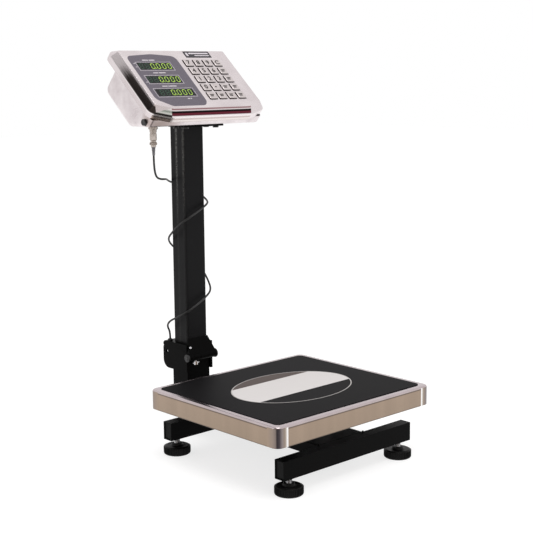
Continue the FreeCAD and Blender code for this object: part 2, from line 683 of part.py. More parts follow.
def cover_block(name, inset):
    """The cover's outside, or its inside when it is inset by the sheet."""
    block = body(name)
    side = "head_width / 2 - %s" % inset
    end = "head_length / 2 - %s" % inset
    toe_x = side + " - toe_end"
    toe_y = end + " - toe_side"
    sketch = outline(block, name + "_plan", "XY_Plane", [
        ("-(%s)" % toe_x, "-(%s)" % end), (toe_x, "-(%s)" % end), (side, "-(%s)" % toe_y),
        (side, end), ("-(%s)" % side, end), ("-(%s)" % side, "-(%s)" % toe_y)], lift="-flange")
    raised = pad(block, name + "_raised", sketch, "flange + bevel - %s" % inset)
    half_width = size(side)
    rounded = fillet(block, name + "_corners", raised,
                     lambda edge: along_axis(edge, 2) and abs(abs(edge.Vertexes[0].X) - half_width) < 1e-6,
                     "head_corner - %s" % inset)
    eased = fillet(block, name + "_toes", rounded,
                   lambda edge: (along_axis(edge, 2) and abs(edge.Vertexes[0].Y + size(end)) < 1e-6
                                 and abs(abs(edge.Vertexes[0].X) - size(toe_x)) < 2), "3 * head_corner")
    front = size("bevel - %s" % inset)
    chamfer(block, name + "_bevel", eased,
            lambda edge: all(abs(vertex.Z - front) < 1e-6 for vertex in edge.Vertexes),
            "bevel - 0.586 * %s" % inset)
    return block


cover_shell = cut("cover_shell", cover_block("cover_outside", "0"),
                  cover_block("cover_inside", "head_sheet"))

KEY_ROWS = 5
KEY_COLUMNS = 4


def key_centre(row, column):
    return "(key_x + %d * key_pitch_x)" % column, "(key_y - %d * key_pitch_y)" % row


openings = []
for row in range(KEY_ROWS):
    for column in range(KEY_COLUMNS):
        x, y = key_centre(row, column)
        half = "(key_size / 2 + key_gap)"
        openings.append(flat_box("key_hole_%d_%d" % (row + 1, column + 1), x + " - " + half,
                                 x + " + " + half, y + " - " + half, y + " + " + half,
                                 "bevel - 4", "bevel + 1"))
WINDOWS = [("window_short", "window_y1"), ("window_short", "window_y2"), ("window_long", "window_y3")]
for index, (width, y) in enumerate(WINDOWS):
    openings.append(flat_box("window_%d" % (index + 1), "window_left", "window_left + " + width,
                             y + " - window_height / 2", y + " + window_height / 2",
                             "bevel - 4", "bevel + 1"))
node(tilt(cut("cover_cut", cover_shell, group("cover_openings", openings))), "head_cover")


def box_profile(name, inset, front):
    """The rear box's side profile, drawn in the slope and depth directions."""
    block = body(name)
    low = "(head_drop - %s)" % inset
    back = "(box_depth - %s)" % inset
    toe = "(box_toe - %s)" % inset
    sketch = outline(block, name + "_side", "YZ_Plane", [
        ("-" + toe, front), ("-" + toe, "-(%s - %s * sin(head_tilt)) / cos(head_tilt)" % (low, toe)),
        ("-(%s - %s * cos(head_tilt)) / sin(head_tilt)" % (low, back), "-" + back),
        ("box_top - %s" % inset, "-" + back), ("box_top - %s" % inset, front)])
    raised = pad(block, name + "_raised", sketch, "box_width - 2 * %s" % inset, middle=True)
    depth = size(back)
    rounded = fillet(block, name + "_rear", raised,
                     lambda edge: along_axis(edge, 0) and abs(edge.Vertexes[0].Z + depth) < 1e-6,
                     "box_round - %s" % inset)
    half_width = size("box_width / 2 - %s" % inset)
    mouth = size(front)
    fillet(block, name + "_sides", rounded,
           lambda edge: (all(abs(abs(vertex.X) - half_width) < 1e-6 for vertex in edge.Vertexes)
                         and any(vertex.Z < mouth - 1e-6 for vertex in edge.Vertexes)),
           "box_side_round - %s" % inset)
    return block


box_outside = box_profile("box_outside", "0", "-flange")
box_inside = box_profile("box_inside", "head_sheet", "2 - flange")
rim_half_x = "head_width / 2 - head_sheet - part_gap / 2"
rim_half_y = "head_length / 2 - head_sheet - part_gap / 2"
rim_flange = body("rim_flange")
rim_sketch = outline(rim_flange, "rim_flange_plan", "XY_Plane", [
    ("-(%s - toe_end)" % rim_half_x, "-(%s)" % rim_half_y),
    ("%s - toe_end" % rim_half_x, "-(%s)" % rim_half_y),
    (rim_half_x, "-(%s - toe_side)" % rim_half_y), (rim_half_x, rim_half_y),
    ("-(%s)" % rim_half_x, rim_half_y), ("-(%s)" % rim_half_x, "-(%s - toe_side)" % rim_half_y)],
    lift="-flange")
rim_plate = pad(rim_flange, "rim_flange_plate", rim_sketch, "head_sheet")
rim_x = size(rim_half_x)
fillet(rim_flange, "rim_flange_corners", rim_plate,
       lambda edge: along_axis(edge, 2) and abs(abs(edge.Vertexes[0].X) - rim_x) < 1e-6, "head_corner")
box_solid = tilt(cut("box_shell", fuse("box_solid", [box_outside, rim_flange]), box_inside))

BUTTON_Z = "head_z + button_up"
box_rooms = [rod("box_hole_%d" % (index + 1), "screw_radius", "8", x, y, "head_z - 4")
             for index, (x, y) in enumerate(plate_screw_places)]
box_rooms.append(rod("socket_room", "socket_shell", "8", "lead_x", "lead_y", "head_z - 4"))
box_rooms.append(rod("button_room", "button_radius + part_gap", "8", "-box_width / 2 - 4", "button_y",
                     BUTTON_Z, "x"))
node(cut("head_box", box_solid, group("box_rooms", box_rooms)))

# keys, display overlay and boards
for row in range(KEY_ROWS):
    for column in range(KEY_COLUMNS):
        x, y = key_centre(row, column)
        name = "key_%d_%d" % (row + 1, column + 1)
        cap = flat_box(name + "_cap", x + " - key_size / 2", x + " + key_size / 2", y + " - key_size / 2",
                       y + " + key_size / 2", "bevel + key_proud - key_depth", "bevel + key_proud")
        block = cap.Tip
        face_height = size("bevel + key_proud")
        rounded = fillet(cap, name + "_corners", block, lambda edge: along_axis(edge, 2), "1.2")
        chamfer(cap, name + "_edge", rounded,
                lambda edge: all(abs(vertex.Z - face_height) < 1e-6 for vertex in edge.Vertexes), "0.6")
        node(tilt(cap), name)

overlay = body("overlay")
overlay_plan = outline(overlay, "overlay_plan", "XY_Plane", [
    ("overlay_left + 24", "overlay_low"), ("overlay_right - 12", "overlay_low"),
    ("overlay_right", "overlay_low + 11"), ("overlay_right", "overlay_top - 5"),
    ("(overlay_left + overlay_right) / 2", "overlay_top"), ("overlay_left", "overlay_top - 5"),
    ("overlay_left", "overlay_low + 14")], lift="bevel")
pad(overlay, "overlay_film", overlay_plan, "overlay_thick")
node(tilt(overlay), "display_overlay")

BOARD_Z = "bevel - head_sheet - 2 - module_height - board_thick"
MODULE_Z = "bevel - head_sheet - 2 - module_height"
board_pieces = [flat_box("board_plate", "overlay_left", "overlay_right", "overlay_low + 4",
                         "overlay_top - 4", BOARD_Z, MODULE_Z)]
for index, (width, y) in enumerate(WINDOWS):
    board_pieces.append(flat_box("module_%d" % (index + 1), "window_left - 1", "window_left + %s + 1" % width,
                                 y + " - window_height / 2 - 1", y + " + window_height / 2 + 1", MODULE_Z,
                                 MODULE_Z + " + module_height"))
node(tilt(fuse("board_solid", board_pieces)), "display_board")
KEYBOARD_Z = "bevel + key_proud - key_depth - key_travel - 0.6 - board_thick"
node(tilt(flat_box("keyboard_plate", "key_x - key_size / 2 - 4", "key_x + 3 * key_pitch_x + key_size / 2 + 4",
                   "key_y - 4 * key_pitch_y - key_size / 2 - 4", "key_y + key_size / 2 + 4",
                   KEYBOARD_Z, KEYBOARD_Z + " + board_thick")), "keypad_board")
BATTERY_BACK = "head_sheet - box_depth"
node(tilt(flat_box("battery_case", "battery_x - battery_width / 2", "battery_x + battery_width / 2",
                   "box_top - box_round - 2 - battery_height", "box_top - box_round - 2", BATTERY_BACK,
                   BATTERY_BACK + " + battery_depth")), "battery")

# ---------------------------------------------------------------- power button and lead
button_shank = rod("button_shank", "button_radius", "button_proud + button_inner",
                   "-box_width / 2 - button_proud", "button_y", BUTTON_Z, "x")
button_collar = rod("button_ring", "button_radius + button_collar", "button_collar_thick",
                    "-box_width / 2 + box_side_round - head_sheet", "button_y", BUTTON_Z, "x")
node(fuse("power_button", [button_shank, button_collar]))

socket_nut = rod("socket_nut", "socket_radius", "socket_flange", "lead_x", "lead_y", "head_z - socket_flange")
socket_tube = rod("socket_tube", "socket_shell", "socket_inside", "lead_x", "lead_y", "head_z")
node(fuse("lead_socket", [socket_nut, socket_tube]))

PLUG_TOP = "head_z - socket_flange"
plug = body("plug")
plug_half = outline(plug, "plug_half", "XZ_Plane", [
    ("0", "0"), ("socket_shell", "0"), ("socket_shell", "-plug_length * 0.62"),
    ("socket_shell - 0.8", "-plug_length * 0.66"), ("socket_shell - 0.8", "-plug_length * 0.72"),
    ("socket_shell + 0.4", "-plug_length * 0.76"), ("socket_shell + 0.4", "-plug_length * 0.9"),
    ("socket_shell - 1.5", "-plug_length"), ("0", "-plug_length")])
plug_turned = plug.newObject("PartDesign::Revolution", "plug_turned")
plug_turned.Profile = plug_half
plug_turned.ReferenceAxis = (plug_half, ["V_Axis"])
plug_turned.Angle = 360
place(plug, "lead_x", "lead_y", PLUG_TOP)
node(plug, "lead_plug")

boot = doc.addObject("Part::Cone", "boot")
bind(boot, "Radius1", "lead_radius + 0.5")
bind(boot, "Radius2", "lead_radius * 2")
bind(boot, "Height", "boot_length")
place(boot, "lead_x", "lead_y", PLUG_TOP + " - plug_length - boot_length")
node(boot, "lead_boot")

# The lead runs from the boot round the mast and down into the yoke's grommet.
LEAD_ROUTE = [
    (-92, 145, 487), (-92, 145, 467), (-85, 149, 450), (-69, 158, 445), (-49, 172, 443), (-32, 190, 441),
    (-16, 202, 435), (8, 204, 427), (28, 196, 419), (35, 178, 410), (34, 159, 401), (22, 144, 397),
    (0, 141, 387), (-20, 144, 376), (-33, 157, 363), (-34, 176, 348), (-29, 193, 336), (-14, 203, 322),
    (10, 204, 306), (29, 196, 290), (36, 178, 275), (36, 163, 258), (32, 150, 243), (15, 143, 234),
    (-5, 142, 224), (-24, 146, 212), (-35, 160, 202), (-38, 178, 194), (-36.5, 189, 186), (-31, 197, 178),
    (-25, 198, 168), (-25, 198, 156),
]


def tangent_path(points):
    """Straight runs joined by arcs, each as large as its two runs allow."""
    edges = []
    radii = []
    start = points[0]
    for before, corner, after in zip(points, points[1:], points[2:]):
        arriving = corner - before
        leaving = after - corner
        turn = arriving.getAngle(leaving)
        reach = 0.45 * min(arriving.Length, leaving.Length)
        radii.append(reach / math.tan(turn / 2))
        arriving.normalize()
        leaving.normalize()
        arc_start = corner - arriving * reach
        arc_end = corner + leaving * reach
        inward = leaving - arriving
        inward.normalize()
        middle = corner + inward * (radii[-1] / math.cos(turn / 2) - radii[-1])
        edges.append(Part.LineSegment(start, arc_start).toShape())
        edges.append(Part.Arc(arc_start, middle, arc_end).toShape())
        start = arc_end
    edges.append(Part.LineSegment(start, points[-1]).toShape())
    return Part.Wire(edges), radii


# The two ends follow the boot and the grommet, and the heights between them keep their shares.
route_high = LEAD_ROUTE[0][2]
route_low = LEAD_ROUTE[-1][2]
lead_high = size(PLUG_TOP + " - plug_length - boot_length")
lead_low = size("column_z + grommet_height")
stretch = (lead_high - lead_low) / (route_high - route_low)
route = [Vector(x, y, lead_low + (z - route_low) * stretch) for x, y, z in LEAD_ROUTE]
for point in route[:2]:
    point.x = size("lead_x")
    point.y = size("lead_y")
for point in route[-2:]:
    point.x = size("grommet_x")
    point.y = size("grommet_y")
lead_path, lead_radii = tangent_path(route)
ring = Part.Wire([Part.makeCircle(size("lead_radius"), route[0], route[1] - route[0])])
lead_tube = lead_path.makePipeShell([ring], True, False)
lead = doc.addObject("Part::Feature", "lead")
lead.Shape = lead_tube
lead.Placement = FreeCAD.Placement(Vector(), FreeCAD.Rotation())
node(lead)
section = math.pi * size("lead_radius") ** 2
print("lead length %.1f, smallest arc %.1f, volume ratio %.4f"
      % (lead_path.Length, min(lead_radii), lead_tube.Volume / (section * lead_path.Length)))
print("lead arcs " + " ".join("%.0f" % radius for radius in lead_radii))

grommet_outer = rod("grommet_outer", "grommet_radius", "grommet_height", "grommet_x", "grommet_y", "column_z")
node(grommet_outer, "lead_grommet")

# ---------------------------------------------------------------- checks and export
doc.recompute()
for item in doc.Objects:
    if "Invalid" in item.State or "Error" in item.State:
        raise RuntimeError("failed object: %s %s" % (item.Label, item.State))
for item in NODES:
    if item.Shape.isNull() or not item.Shape.isValid() or not item.Shape.Solids:
        raise RuntimeError("bad shape: " + item.Label)

os.makedirs("parts", exist_ok=True)
for item in NODES:
    item.Shape.exportStep("parts/%s.step" % item.Label)
print("%d nodes" % len(NODES))
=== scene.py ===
import json
import math

import bmesh
import bpy
from mathutils import Matrix, Vector


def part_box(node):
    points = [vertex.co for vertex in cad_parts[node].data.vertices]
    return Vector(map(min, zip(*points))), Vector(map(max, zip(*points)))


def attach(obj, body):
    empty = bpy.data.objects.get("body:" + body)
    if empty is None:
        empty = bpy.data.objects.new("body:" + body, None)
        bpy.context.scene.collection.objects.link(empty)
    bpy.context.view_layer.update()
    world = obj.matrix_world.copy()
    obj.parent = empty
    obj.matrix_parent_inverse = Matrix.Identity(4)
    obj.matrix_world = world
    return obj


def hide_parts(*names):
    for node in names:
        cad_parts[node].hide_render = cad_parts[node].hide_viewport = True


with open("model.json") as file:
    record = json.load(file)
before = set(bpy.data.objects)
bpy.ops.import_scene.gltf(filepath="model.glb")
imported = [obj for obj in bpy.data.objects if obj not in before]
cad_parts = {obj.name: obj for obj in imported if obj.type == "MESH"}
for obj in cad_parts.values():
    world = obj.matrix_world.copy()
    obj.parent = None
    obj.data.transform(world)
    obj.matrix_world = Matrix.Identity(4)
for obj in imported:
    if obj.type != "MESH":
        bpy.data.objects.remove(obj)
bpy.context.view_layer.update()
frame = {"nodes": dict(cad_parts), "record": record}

scene = bpy.context.scene

# -------- camera, studio light and floor
# A pale photographic studio: a pale sweep, one large softbox overhead and a narrow strip at the
# left that draws the edges of black pieces. White walls all round light the rest.
CAMERA_AT = (-1.2729, -1.4078, 0.6204)
CAMERA_YAW = math.radians(42.72)
CAMERA_DOWN = math.radians(9.427)
CAMERA_ROLL = math.radians(-0.536)
CAMERA_LENS = 78.70


def linear(code):
    """A hex sRGB colour as linear red, green, blue and alpha."""
    shares = [int(code[place:place + 2], 16) / 255 for place in (0, 2, 4)]
    return tuple(s / 12.92 if s <= 0.04045 else ((s + 0.055) / 1.055) ** 2.4 for s in shares) + (1.0,)


def add(tree, kind, inputs=None, **settings):
    """Adds a node with its own settings. An input takes a value, a socket, or a node's first output."""
    made = tree.nodes.new(kind)
    for key, value in settings.items():
        setattr(made, key, value)
    for key, value in (inputs or {}).items():
        if isinstance(value, bpy.types.Node):
            value = next(output for output in value.outputs if output.enabled)
        if isinstance(value, bpy.types.NodeSocket):
            tree.links.new(value, made.inputs[key])
        else:
            made.inputs[key].default_value = value
    return made


def stops(ramp, places):
    """Sets a ramp's colours from (position, hex colour) pairs, and gives the ramp back."""
    colours = ramp.color_ramp.elements
    while len(colours) < len(places):
        colours.new(0.5)
    for stop, (position, code) in zip(colours, places):
        stop.position = position
        stop.color = linear(code)
    return ramp


def masked(tree, under, over, *masks):
    """Lays one colour over another where every mask is 1."""
    share = masks[0]
    for mask in masks[1:]:
        share = add(tree, "ShaderNodeMath", {0: share, 1: mask}, operation="MULTIPLY")
    return add(tree, "ShaderNodeMix", {0: share, 6: under, 7: over}, data_type="RGBA").outputs[2]


forward = Vector((math.sin(CAMERA_YAW) * math.cos(CAMERA_DOWN), math.cos(CAMERA_YAW) * math.cos(CAMERA_DOWN),
                  -math.sin(CAMERA_DOWN)))
level = forward.cross(Vector((0, 0, 1))).normalized()
upright = level.cross(forward)
right = math.cos(CAMERA_ROLL) * level + math.sin(CAMERA_ROLL) * upright
up = math.cos(CAMERA_ROLL) * upright - math.sin(CAMERA_ROLL) * level
camera = bpy.data.objects.new("camera", bpy.data.cameras.new("camera"))
scene.collection.objects.link(camera)
camera.data.lens = CAMERA_LENS
camera.data.sensor_width = 36
camera.data.clip_end = 60
camera.matrix_world = Matrix.Translation(CAMERA_AT) @ Matrix((right, up, -forward)).transposed().to_4x4()
scene.camera = camera
scene.view_settings.view_transform = "Standard"


def softbox(name, at, aim, width, height, watts):
    """One rectangular studio light, turned towards its aim."""
    lamp = bpy.data.lights.new(name, "AREA")
    lamp.shape = "RECTANGLE"
    lamp.size, lamp.size_y = width, height
    lamp.energy = watts
    made = bpy.data.objects.new(name, lamp)
    made.location = at
    made.rotation_euler = (Vector(aim) - Vector(at)).to_track_quat("-Z", "Y").to_euler()
    scene.collection.objects.link(made)


softbox("overhead_softbox", (-0.5, -0.9, 2.9), (0, 0, 0.3), 1.6, 1.6, 30)
softbox("left_strip", (-2.2, 0.7, 0.9), (0, 0.1, 0.35), 0.2, 1.6, 1.5)

world = bpy.data.worlds.new("studio")
scene.world = world
world.use_nodes = True
sky = world.node_tree
sky.nodes.clear()
# white all round, dimmer and warmer low behind the camera, and a dark flag high on the left,
# which the bright sheet metal mirrors
direction = add(sky, "ShaderNodeTexCoord").outputs["Generated"]
behind = add(sky, "ShaderNodeVectorMath", {0: direction, 1: (-0.67, -0.73, -0.1)}, operation="DOT_PRODUCT")
behind_tone = stops(add(sky, "ShaderNodeValToRGB", {"Fac": behind}), [(0.35, "f4f2f2"), (0.85, "b9afa6")])
flag = add(sky, "ShaderNodeVectorMath", {0: direction, 1: (-0.66, -0.13, 0.74)}, operation="DOT_PRODUCT")
flag_tone = stops(add(sky, "ShaderNodeValToRGB", {"Fac": flag}), [(0.93, "ffffff"), (0.97, "4a4646")])
studio = add(sky, "ShaderNodeMix", {"Factor": 1.0, 6: behind_tone, 7: flag_tone}, data_type="RGBA",
             blend_type="MULTIPLY")
# the camera itself sees plain white
from_camera = add(sky, "ShaderNodeLightPath").outputs["Is Camera Ray"]
backdrop = add(sky, "ShaderNodeBackground",
               {"Strength": 1.0, "Color": masked(sky, studio, linear("ffffff"), from_camera)})
add(sky, "ShaderNodeOutputWorld", {"Surface": backdrop})


def grain(tree, shader, size, depth, stretch=(1, 1, 1), uneven=0.0, tones=None):
    """Surface texture from noise: grains of that size in metres, drawn as bump, as uneven
    roughness, and as two tones of colour. A stretch above 1 draws the grains longer on that axis."""
    place = add(tree, "ShaderNodeTexCoord")
    drawn = add(tree, "ShaderNodeMapping", {"Scale": tuple(1 / s for s in stretch),
                 "Vector": place.outputs["Object"]})
    noise = add(tree, "ShaderNodeTexNoise", {"Scale": 1 / size, "Detail": 4.0, "Roughness": 0.6,
                 "Vector": drawn})
    if depth:
        bump = add(tree, "ShaderNodeBump", {"Strength": 1.0, "Distance": depth, "Height": noise})
        tree.links.new(bump.outputs["Normal"], shader.inputs["Normal"])
    if uneven:
        middle = shader.inputs["Roughness"].default_value
        spread = add(tree, "ShaderNodeMapRange", {"From Min": 0.3, "From Max": 0.7,
                      "To Min": max(middle - uneven, 0.02), "To Max": middle + uneven, "Value": noise})
        tree.links.new(spread.outputs["Result"], shader.inputs["Roughness"])
    if tones:
        ramp = stops(add(tree, "ShaderNodeValToRGB", {"Fac": noise}), list(zip((0.35, 0.65), tones)))
        tree.links.new(ramp.outputs["Color"], shader.inputs["Base Color"])


def material(name, colour, roughness, size=0.0, depth=0.0, metallic=0.0, specular=0.5, **texture):
    """A named finish with its grain, its node tree and its shader, for the section to give it detail."""
    made = bpy.data.materials.new(name)
    made.use_nodes = True
    tree = made.node_tree
    shader = tree.nodes["Principled BSDF"]
    shader.inputs["Base Color"].default_value = linear(colour)
    shader.inputs["Roughness"].default_value = roughness
    shader.inputs["Metallic"].default_value = metallic
    if not metallic:
        shader.inputs["Specular IOR Level"].default_value = specular
    if size:
        grain(tree, shader, size, depth, **texture)
    return made, tree, shader


def link_mesh(name, mesh, finish, smooth=None):
    """An object at the origin from a mesh, with its finish and, if asked, smooth faces up to that angle."""
    made = bpy.data.objects.new(name, mesh)
    scene.collection.objects.link(made)
    if not mesh.materials:
        mesh.materials.append(finish)
    if smooth is not None:
        for face in mesh.polygons:
            face.use_smooth = True
        mesh.set_sharp_from_angle(angle=math.radians(smooth))
    return made


sweep_finish, tree, shader = material("matt white vinyl studio sweep", "a2a2a2", 0.9, 0.004, 0.0,
    specular=0.1, uneven=0.05, tones=("9e9e9e", "a4a4a4"))
shader.inputs["Emission Color"].default_value = linear("ffffff")
shader.inputs["Emission Strength"].default_value = 0.75
sweep = bmesh.new()
bmesh.ops.create_grid(sweep, x_segments=12, y_segments=12, size=9)
floor_mesh = bpy.data.meshes.new("floor")
sweep.to_mesh(floor_mesh)
floor_plane = link_mesh("floor", floor_mesh, sweep_finish)

# -------- lead
# A thin shielded signal cable with a black PVC sheath. It leaves the screwed connector under
# the head, winds loosely twice round the mast and goes down through a grommet in the yoke.
LEAD_DIAMETER = 0.0035
LEAD_ROUTE = [
    (-0.092, 0.145, 0.487), (-0.092, 0.145, 0.467), (-0.085, 0.149, 0.450), (-0.069, 0.158, 0.445),
    (-0.049, 0.172, 0.443), (-0.032, 0.190, 0.441), (-0.016, 0.202, 0.435), (0.008, 0.204, 0.427),
    (0.028, 0.196, 0.419), (0.035, 0.178, 0.410), (0.034, 0.159, 0.401), (0.022, 0.144, 0.397),
    (0.000, 0.141, 0.387), (-0.020, 0.144, 0.376), (-0.033, 0.157, 0.363), (-0.034, 0.176, 0.348),
    (-0.029, 0.193, 0.336), (-0.014, 0.203, 0.322), (0.010, 0.204, 0.306), (0.029, 0.196, 0.290),
    (0.036, 0.178, 0.275), (0.036, 0.163, 0.258), (0.032, 0.150, 0.243), (0.015, 0.143, 0.234),
    (-0.005, 0.142, 0.224), (-0.024, 0.146, 0.212), (-0.035, 0.160, 0.202), (-0.038, 0.178, 0.194),
    (-0.0365, 0.189, 0.186), (-0.031, 0.197, 0.178), (-0.025, 0.198, 0.168), (-0.025, 0.198, 0.156),
]
sheath_finish, tree, shader = material("extruded black PVC sheath", "0e0e0f", 0.38, 0.0012, 0.00003,
    uneven=0.06)
lead_curve = bpy.data.curves.new("lead_sheath", "CURVE")
lead_curve.dimensions = "3D"
lead_curve.bevel_depth = LEAD_DIAMETER / 2
lead_curve.bevel_resolution = 4
lead_curve.use_fill_caps = True
line = lead_curve.splines.new("NURBS")
line.points.add(len(LEAD_ROUTE) - 1)
for point, at in zip(line.points, LEAD_ROUTE):
    point.co = (*at, 1)
line.order_u = 3
line.use_endpoint_u = True
line.resolution_u = 10
lead_curve.materials.append(sheath_finish)
lead = bpy.data.objects.new("lead_cable", lead_curve)
scene.collection.objects.link(lead)
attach(lead, "mast")
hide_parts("lead")


# -------- lead connector
# A circular screw connector: a round panel nut, a plated body with a knurled coupling ring,
# and a grey moulded boot with rings that keeps the lead from kinking.
def stacked(name, shells, finish, smooth=None):
    """Closed shells, each through rings of points from one end to the other. A ring of one point is a tip."""
    shape = bmesh.new()
    for rings in shells:
        loops = [[shape.verts.new(point) for point in ring] for ring in rings]
        for low, high in zip(loops, loops[1:]):
            for k in range(max(len(low), len(high))):
                corners = (low[k % len(low)], low[(k + 1) % len(low)], high[(k + 1) % len(high)],
                           high[k % len(high)])
                shape.faces.new(list(dict.fromkeys(corners)))
        for loop in (loops[0], loops[-1]):
            if len(loop) > 1:
                shape.faces.new(loop)
    bmesh.ops.recalc_face_normals(shape, faces=shape.faces)
    mesh = bpy.data.meshes.new(name)
    shape.to_mesh(mesh)
    return link_mesh(name, mesh, finish, smooth)


def turned(name, profile, centre, finish, steps=48, smooth=35):
    """A piece turned on a lathe about an upright line: profile is (radius, height) from its foot up."""
    rings = [[(centre[0] + radius * math.cos(2 * math.pi * k / steps),
               centre[1] + radius * math.sin(2 * math.pi * k / steps), centre[2] + height)
              for k in range(steps if radius else 1)] for radius, height in profile]
    return stacked(name, [rings], finish, smooth)


def geometry_tree(name, inputs):
    """An empty geometry tree with those named kinds of input, and the inputs' sockets."""
    tree = bpy.data.node_groups.new(name, "GeometryNodeTree")
    tree.interface.new_socket("Geometry", in_out="OUTPUT", socket_type="NodeSocketGeometry")
    for label, kind in inputs.items():
        tree.interface.new_socket(label, in_out="INPUT", socket_type="NodeSocket" + kind)
    return tree, add(tree, "NodeGroupInput").outputs


def closed(tree, source, given):
    """Ends a geometry tree: its instances are made real and take the finish it is given."""
    real = add(tree, "GeometryNodeRealizeInstances", {"Geometry": source})
    dressed = add(tree, "GeometryNodeSetMaterial", {"Geometry": real, "Material": given["Finish"]})
    add(tree, "NodeGroupOutput", {"Geometry": dressed})


def made_by(tree, name, values, finish, smooth=35, places=None):
    """Runs a geometry tree with those named values, on those places, and keeps the result as a plain mesh."""
    holder = bpy.data.objects.new(name + "_maker", places or bpy.data.meshes.new(name + "_maker"))
    scene.collection.objects.link(holder)
    work = holder.modifiers.new("make", "NODES")
    work.node_group = tree
    values = {**values, "Finish": finish}
    for item in tree.interface.items_tree:
        if item.in_out == "INPUT" and item.name in values:
            work[item.identifier] = values[item.name]
    depsgraph = bpy.context.evaluated_depsgraph_get()
    mesh = bpy.data.meshes.new_from_object(holder.evaluated_get(depsgraph), depsgraph=depsgraph)
    holder.modifiers.remove(work)
    bpy.data.objects.remove(holder)
    return link_mesh(name, mesh, finish, smooth)


def settle(piece, body, slot, *nodes):
    """The piece rides on its body and stands for those nodes. Its slot is not used."""
    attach(piece, body)
    if nodes:
        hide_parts(*nodes)


def middle(node):
    """The middle of a node's box."""
    return [(low + high) / 2 for low, high in zip(*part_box(node))]


# upright round-edged ribs standing in a ring
RIB_SIDES = 8
ribs, given = geometry_tree("ribs in a ring", {
    "Ribs": "Int", "Radius": "Float", "Width": "Float", "Depth": "Float", "Height": "Float",
    "Centre": "Vector",
    "Finish": "Material"})
ring = add(ribs, "GeometryNodeMeshCircle", {"Vertices": given["Ribs"], "Radius": given["Radius"]})
rib = add(ribs, "GeometryNodeMeshCylinder", {"Vertices": RIB_SIDES, "Radius": 0.5, "Depth": 1.0})
big = add(ribs, "ShaderNodeCombineXYZ", {"X": given["Depth"], "Y": given["Width"], "Z": given["Height"]})
step = add(ribs, "ShaderNodeMath", {0: 2 * math.pi, 1: given["Ribs"]}, operation="DIVIDE")
angle = add(ribs, "ShaderNodeMath", {0: add(ribs, "GeometryNodeInputIndex"), 1: step}, operation="MULTIPLY")
turn = add(ribs, "ShaderNodeCombineXYZ", {"Z": angle})
stood = add(ribs, "GeometryNodeInstanceOnPoints", {"Points": ring, "Instance": rib, "Rotation": turn,
                                                   "Scale": big})
closed(ribs, add(ribs, "GeometryNodeTransform", {"Geometry": stood, "Translation": given["Centre"]}), given)

chrome_finish, tree, shader = material("polished chrome plating", "d9d9dc", 0.09, 0.006, 0.0, metallic=1.0,
    uneven=0.04)
connector_finish, tree, shader = material("nickel plated turned brass", "aba198", 0.16, 0.0009, 0.00003,
    metallic=1.0, stretch=(1, 1, 6), uneven=0.06, tones=("8f857d", "c3bab3"))
boot_finish, tree, shader = material("moulded grey thermoplastic rubber", "6d6c70", 0.55, 0.0008, 0.00003,
    uneven=0.08)

socket_low, socket_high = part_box("lead_socket")
nut_x, nut_y = middle("lead_socket")[:2]
NUT_RADIUS = (socket_high[0] - socket_low[0]) / 2
NUT_THICK = 0.005
panel_nut = turned("panel_nut", [
    (NUT_RADIUS - 0.0008, 0), (NUT_RADIUS, 0.0008), (NUT_RADIUS, NUT_THICK - 0.0014),
    (NUT_RADIUS - 0.0008, NUT_THICK - 0.0012), (NUT_RADIUS - 0.0004, NUT_THICK - 0.0006),
    (NUT_RADIUS - 0.0004, NUT_THICK), (0.006, NUT_THICK), (0.006, socket_high[2] - socket_low[2])],
    (nut_x, nut_y, socket_low[2]), connector_finish, steps=6 * 8, smooth=20)
settle(panel_nut, "mast", "chrome", "lead_socket")

plug_low, plug_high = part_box("lead_plug")
PLUG_RADIUS = 0.006
plug_body = turned("plug_shell", [
    (0.0042, 0), (0.0045, 0.001), (0.0045, 0.003), (0.0058, 0.0035), (0.0058, 0.0075), (0.0048, 0.0082),
    (0.0048, 0.0105), (PLUG_RADIUS - 0.0003, 0.0112), (PLUG_RADIUS, 0.0118), (PLUG_RADIUS, 0.022),
    (0.0054, 0.0223), (0.0054, 0.0243), (PLUG_RADIUS, 0.0246), (PLUG_RADIUS, plug_high[2] - plug_low[2])],
    (nut_x, nut_y, plug_low[2]), connector_finish)
settle(plug_body, "mast", "chrome", "lead_plug")
plug_knurl = made_by(ribs, "plug_knurl", {
    "Ribs": 28, "Radius": 0.0058, "Width": 0.0009, "Depth": 0.0012, "Height": 0.0036,
    "Centre": (nut_x, nut_y, plug_low[2] + 0.0055)}, connector_finish)
settle(plug_knurl, "mast", "chrome")

boot_low, boot_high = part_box("lead_boot")
BOOT_LENGTH = boot_high[2] - boot_low[2]
BOOT_RINGS = 5
boot_profile = [(0.0019, 0), (0.0024, 0.0004)]
for ring in range(BOOT_RINGS):
    share = ring / BOOT_RINGS
    foot = BOOT_LENGTH * (0.06 + 0.8 * share)
    radius = 0.0024 + 0.0010 * share
    boot_profile += [(radius, foot), (radius, foot + 0.0013), (radius - 0.0005, foot + 0.0015),
                     (radius - 0.0005, foot + 0.0021)]
boot_profile += [(0.0035, BOOT_LENGTH * 0.88), (0.0035, BOOT_LENGTH)]
boot = turned("lead_strain_boot", boot_profile, (nut_x, nut_y, boot_low[2]), boot_finish, steps=32)
settle(boot, "mast", "grey_rubber", "lead_boot")

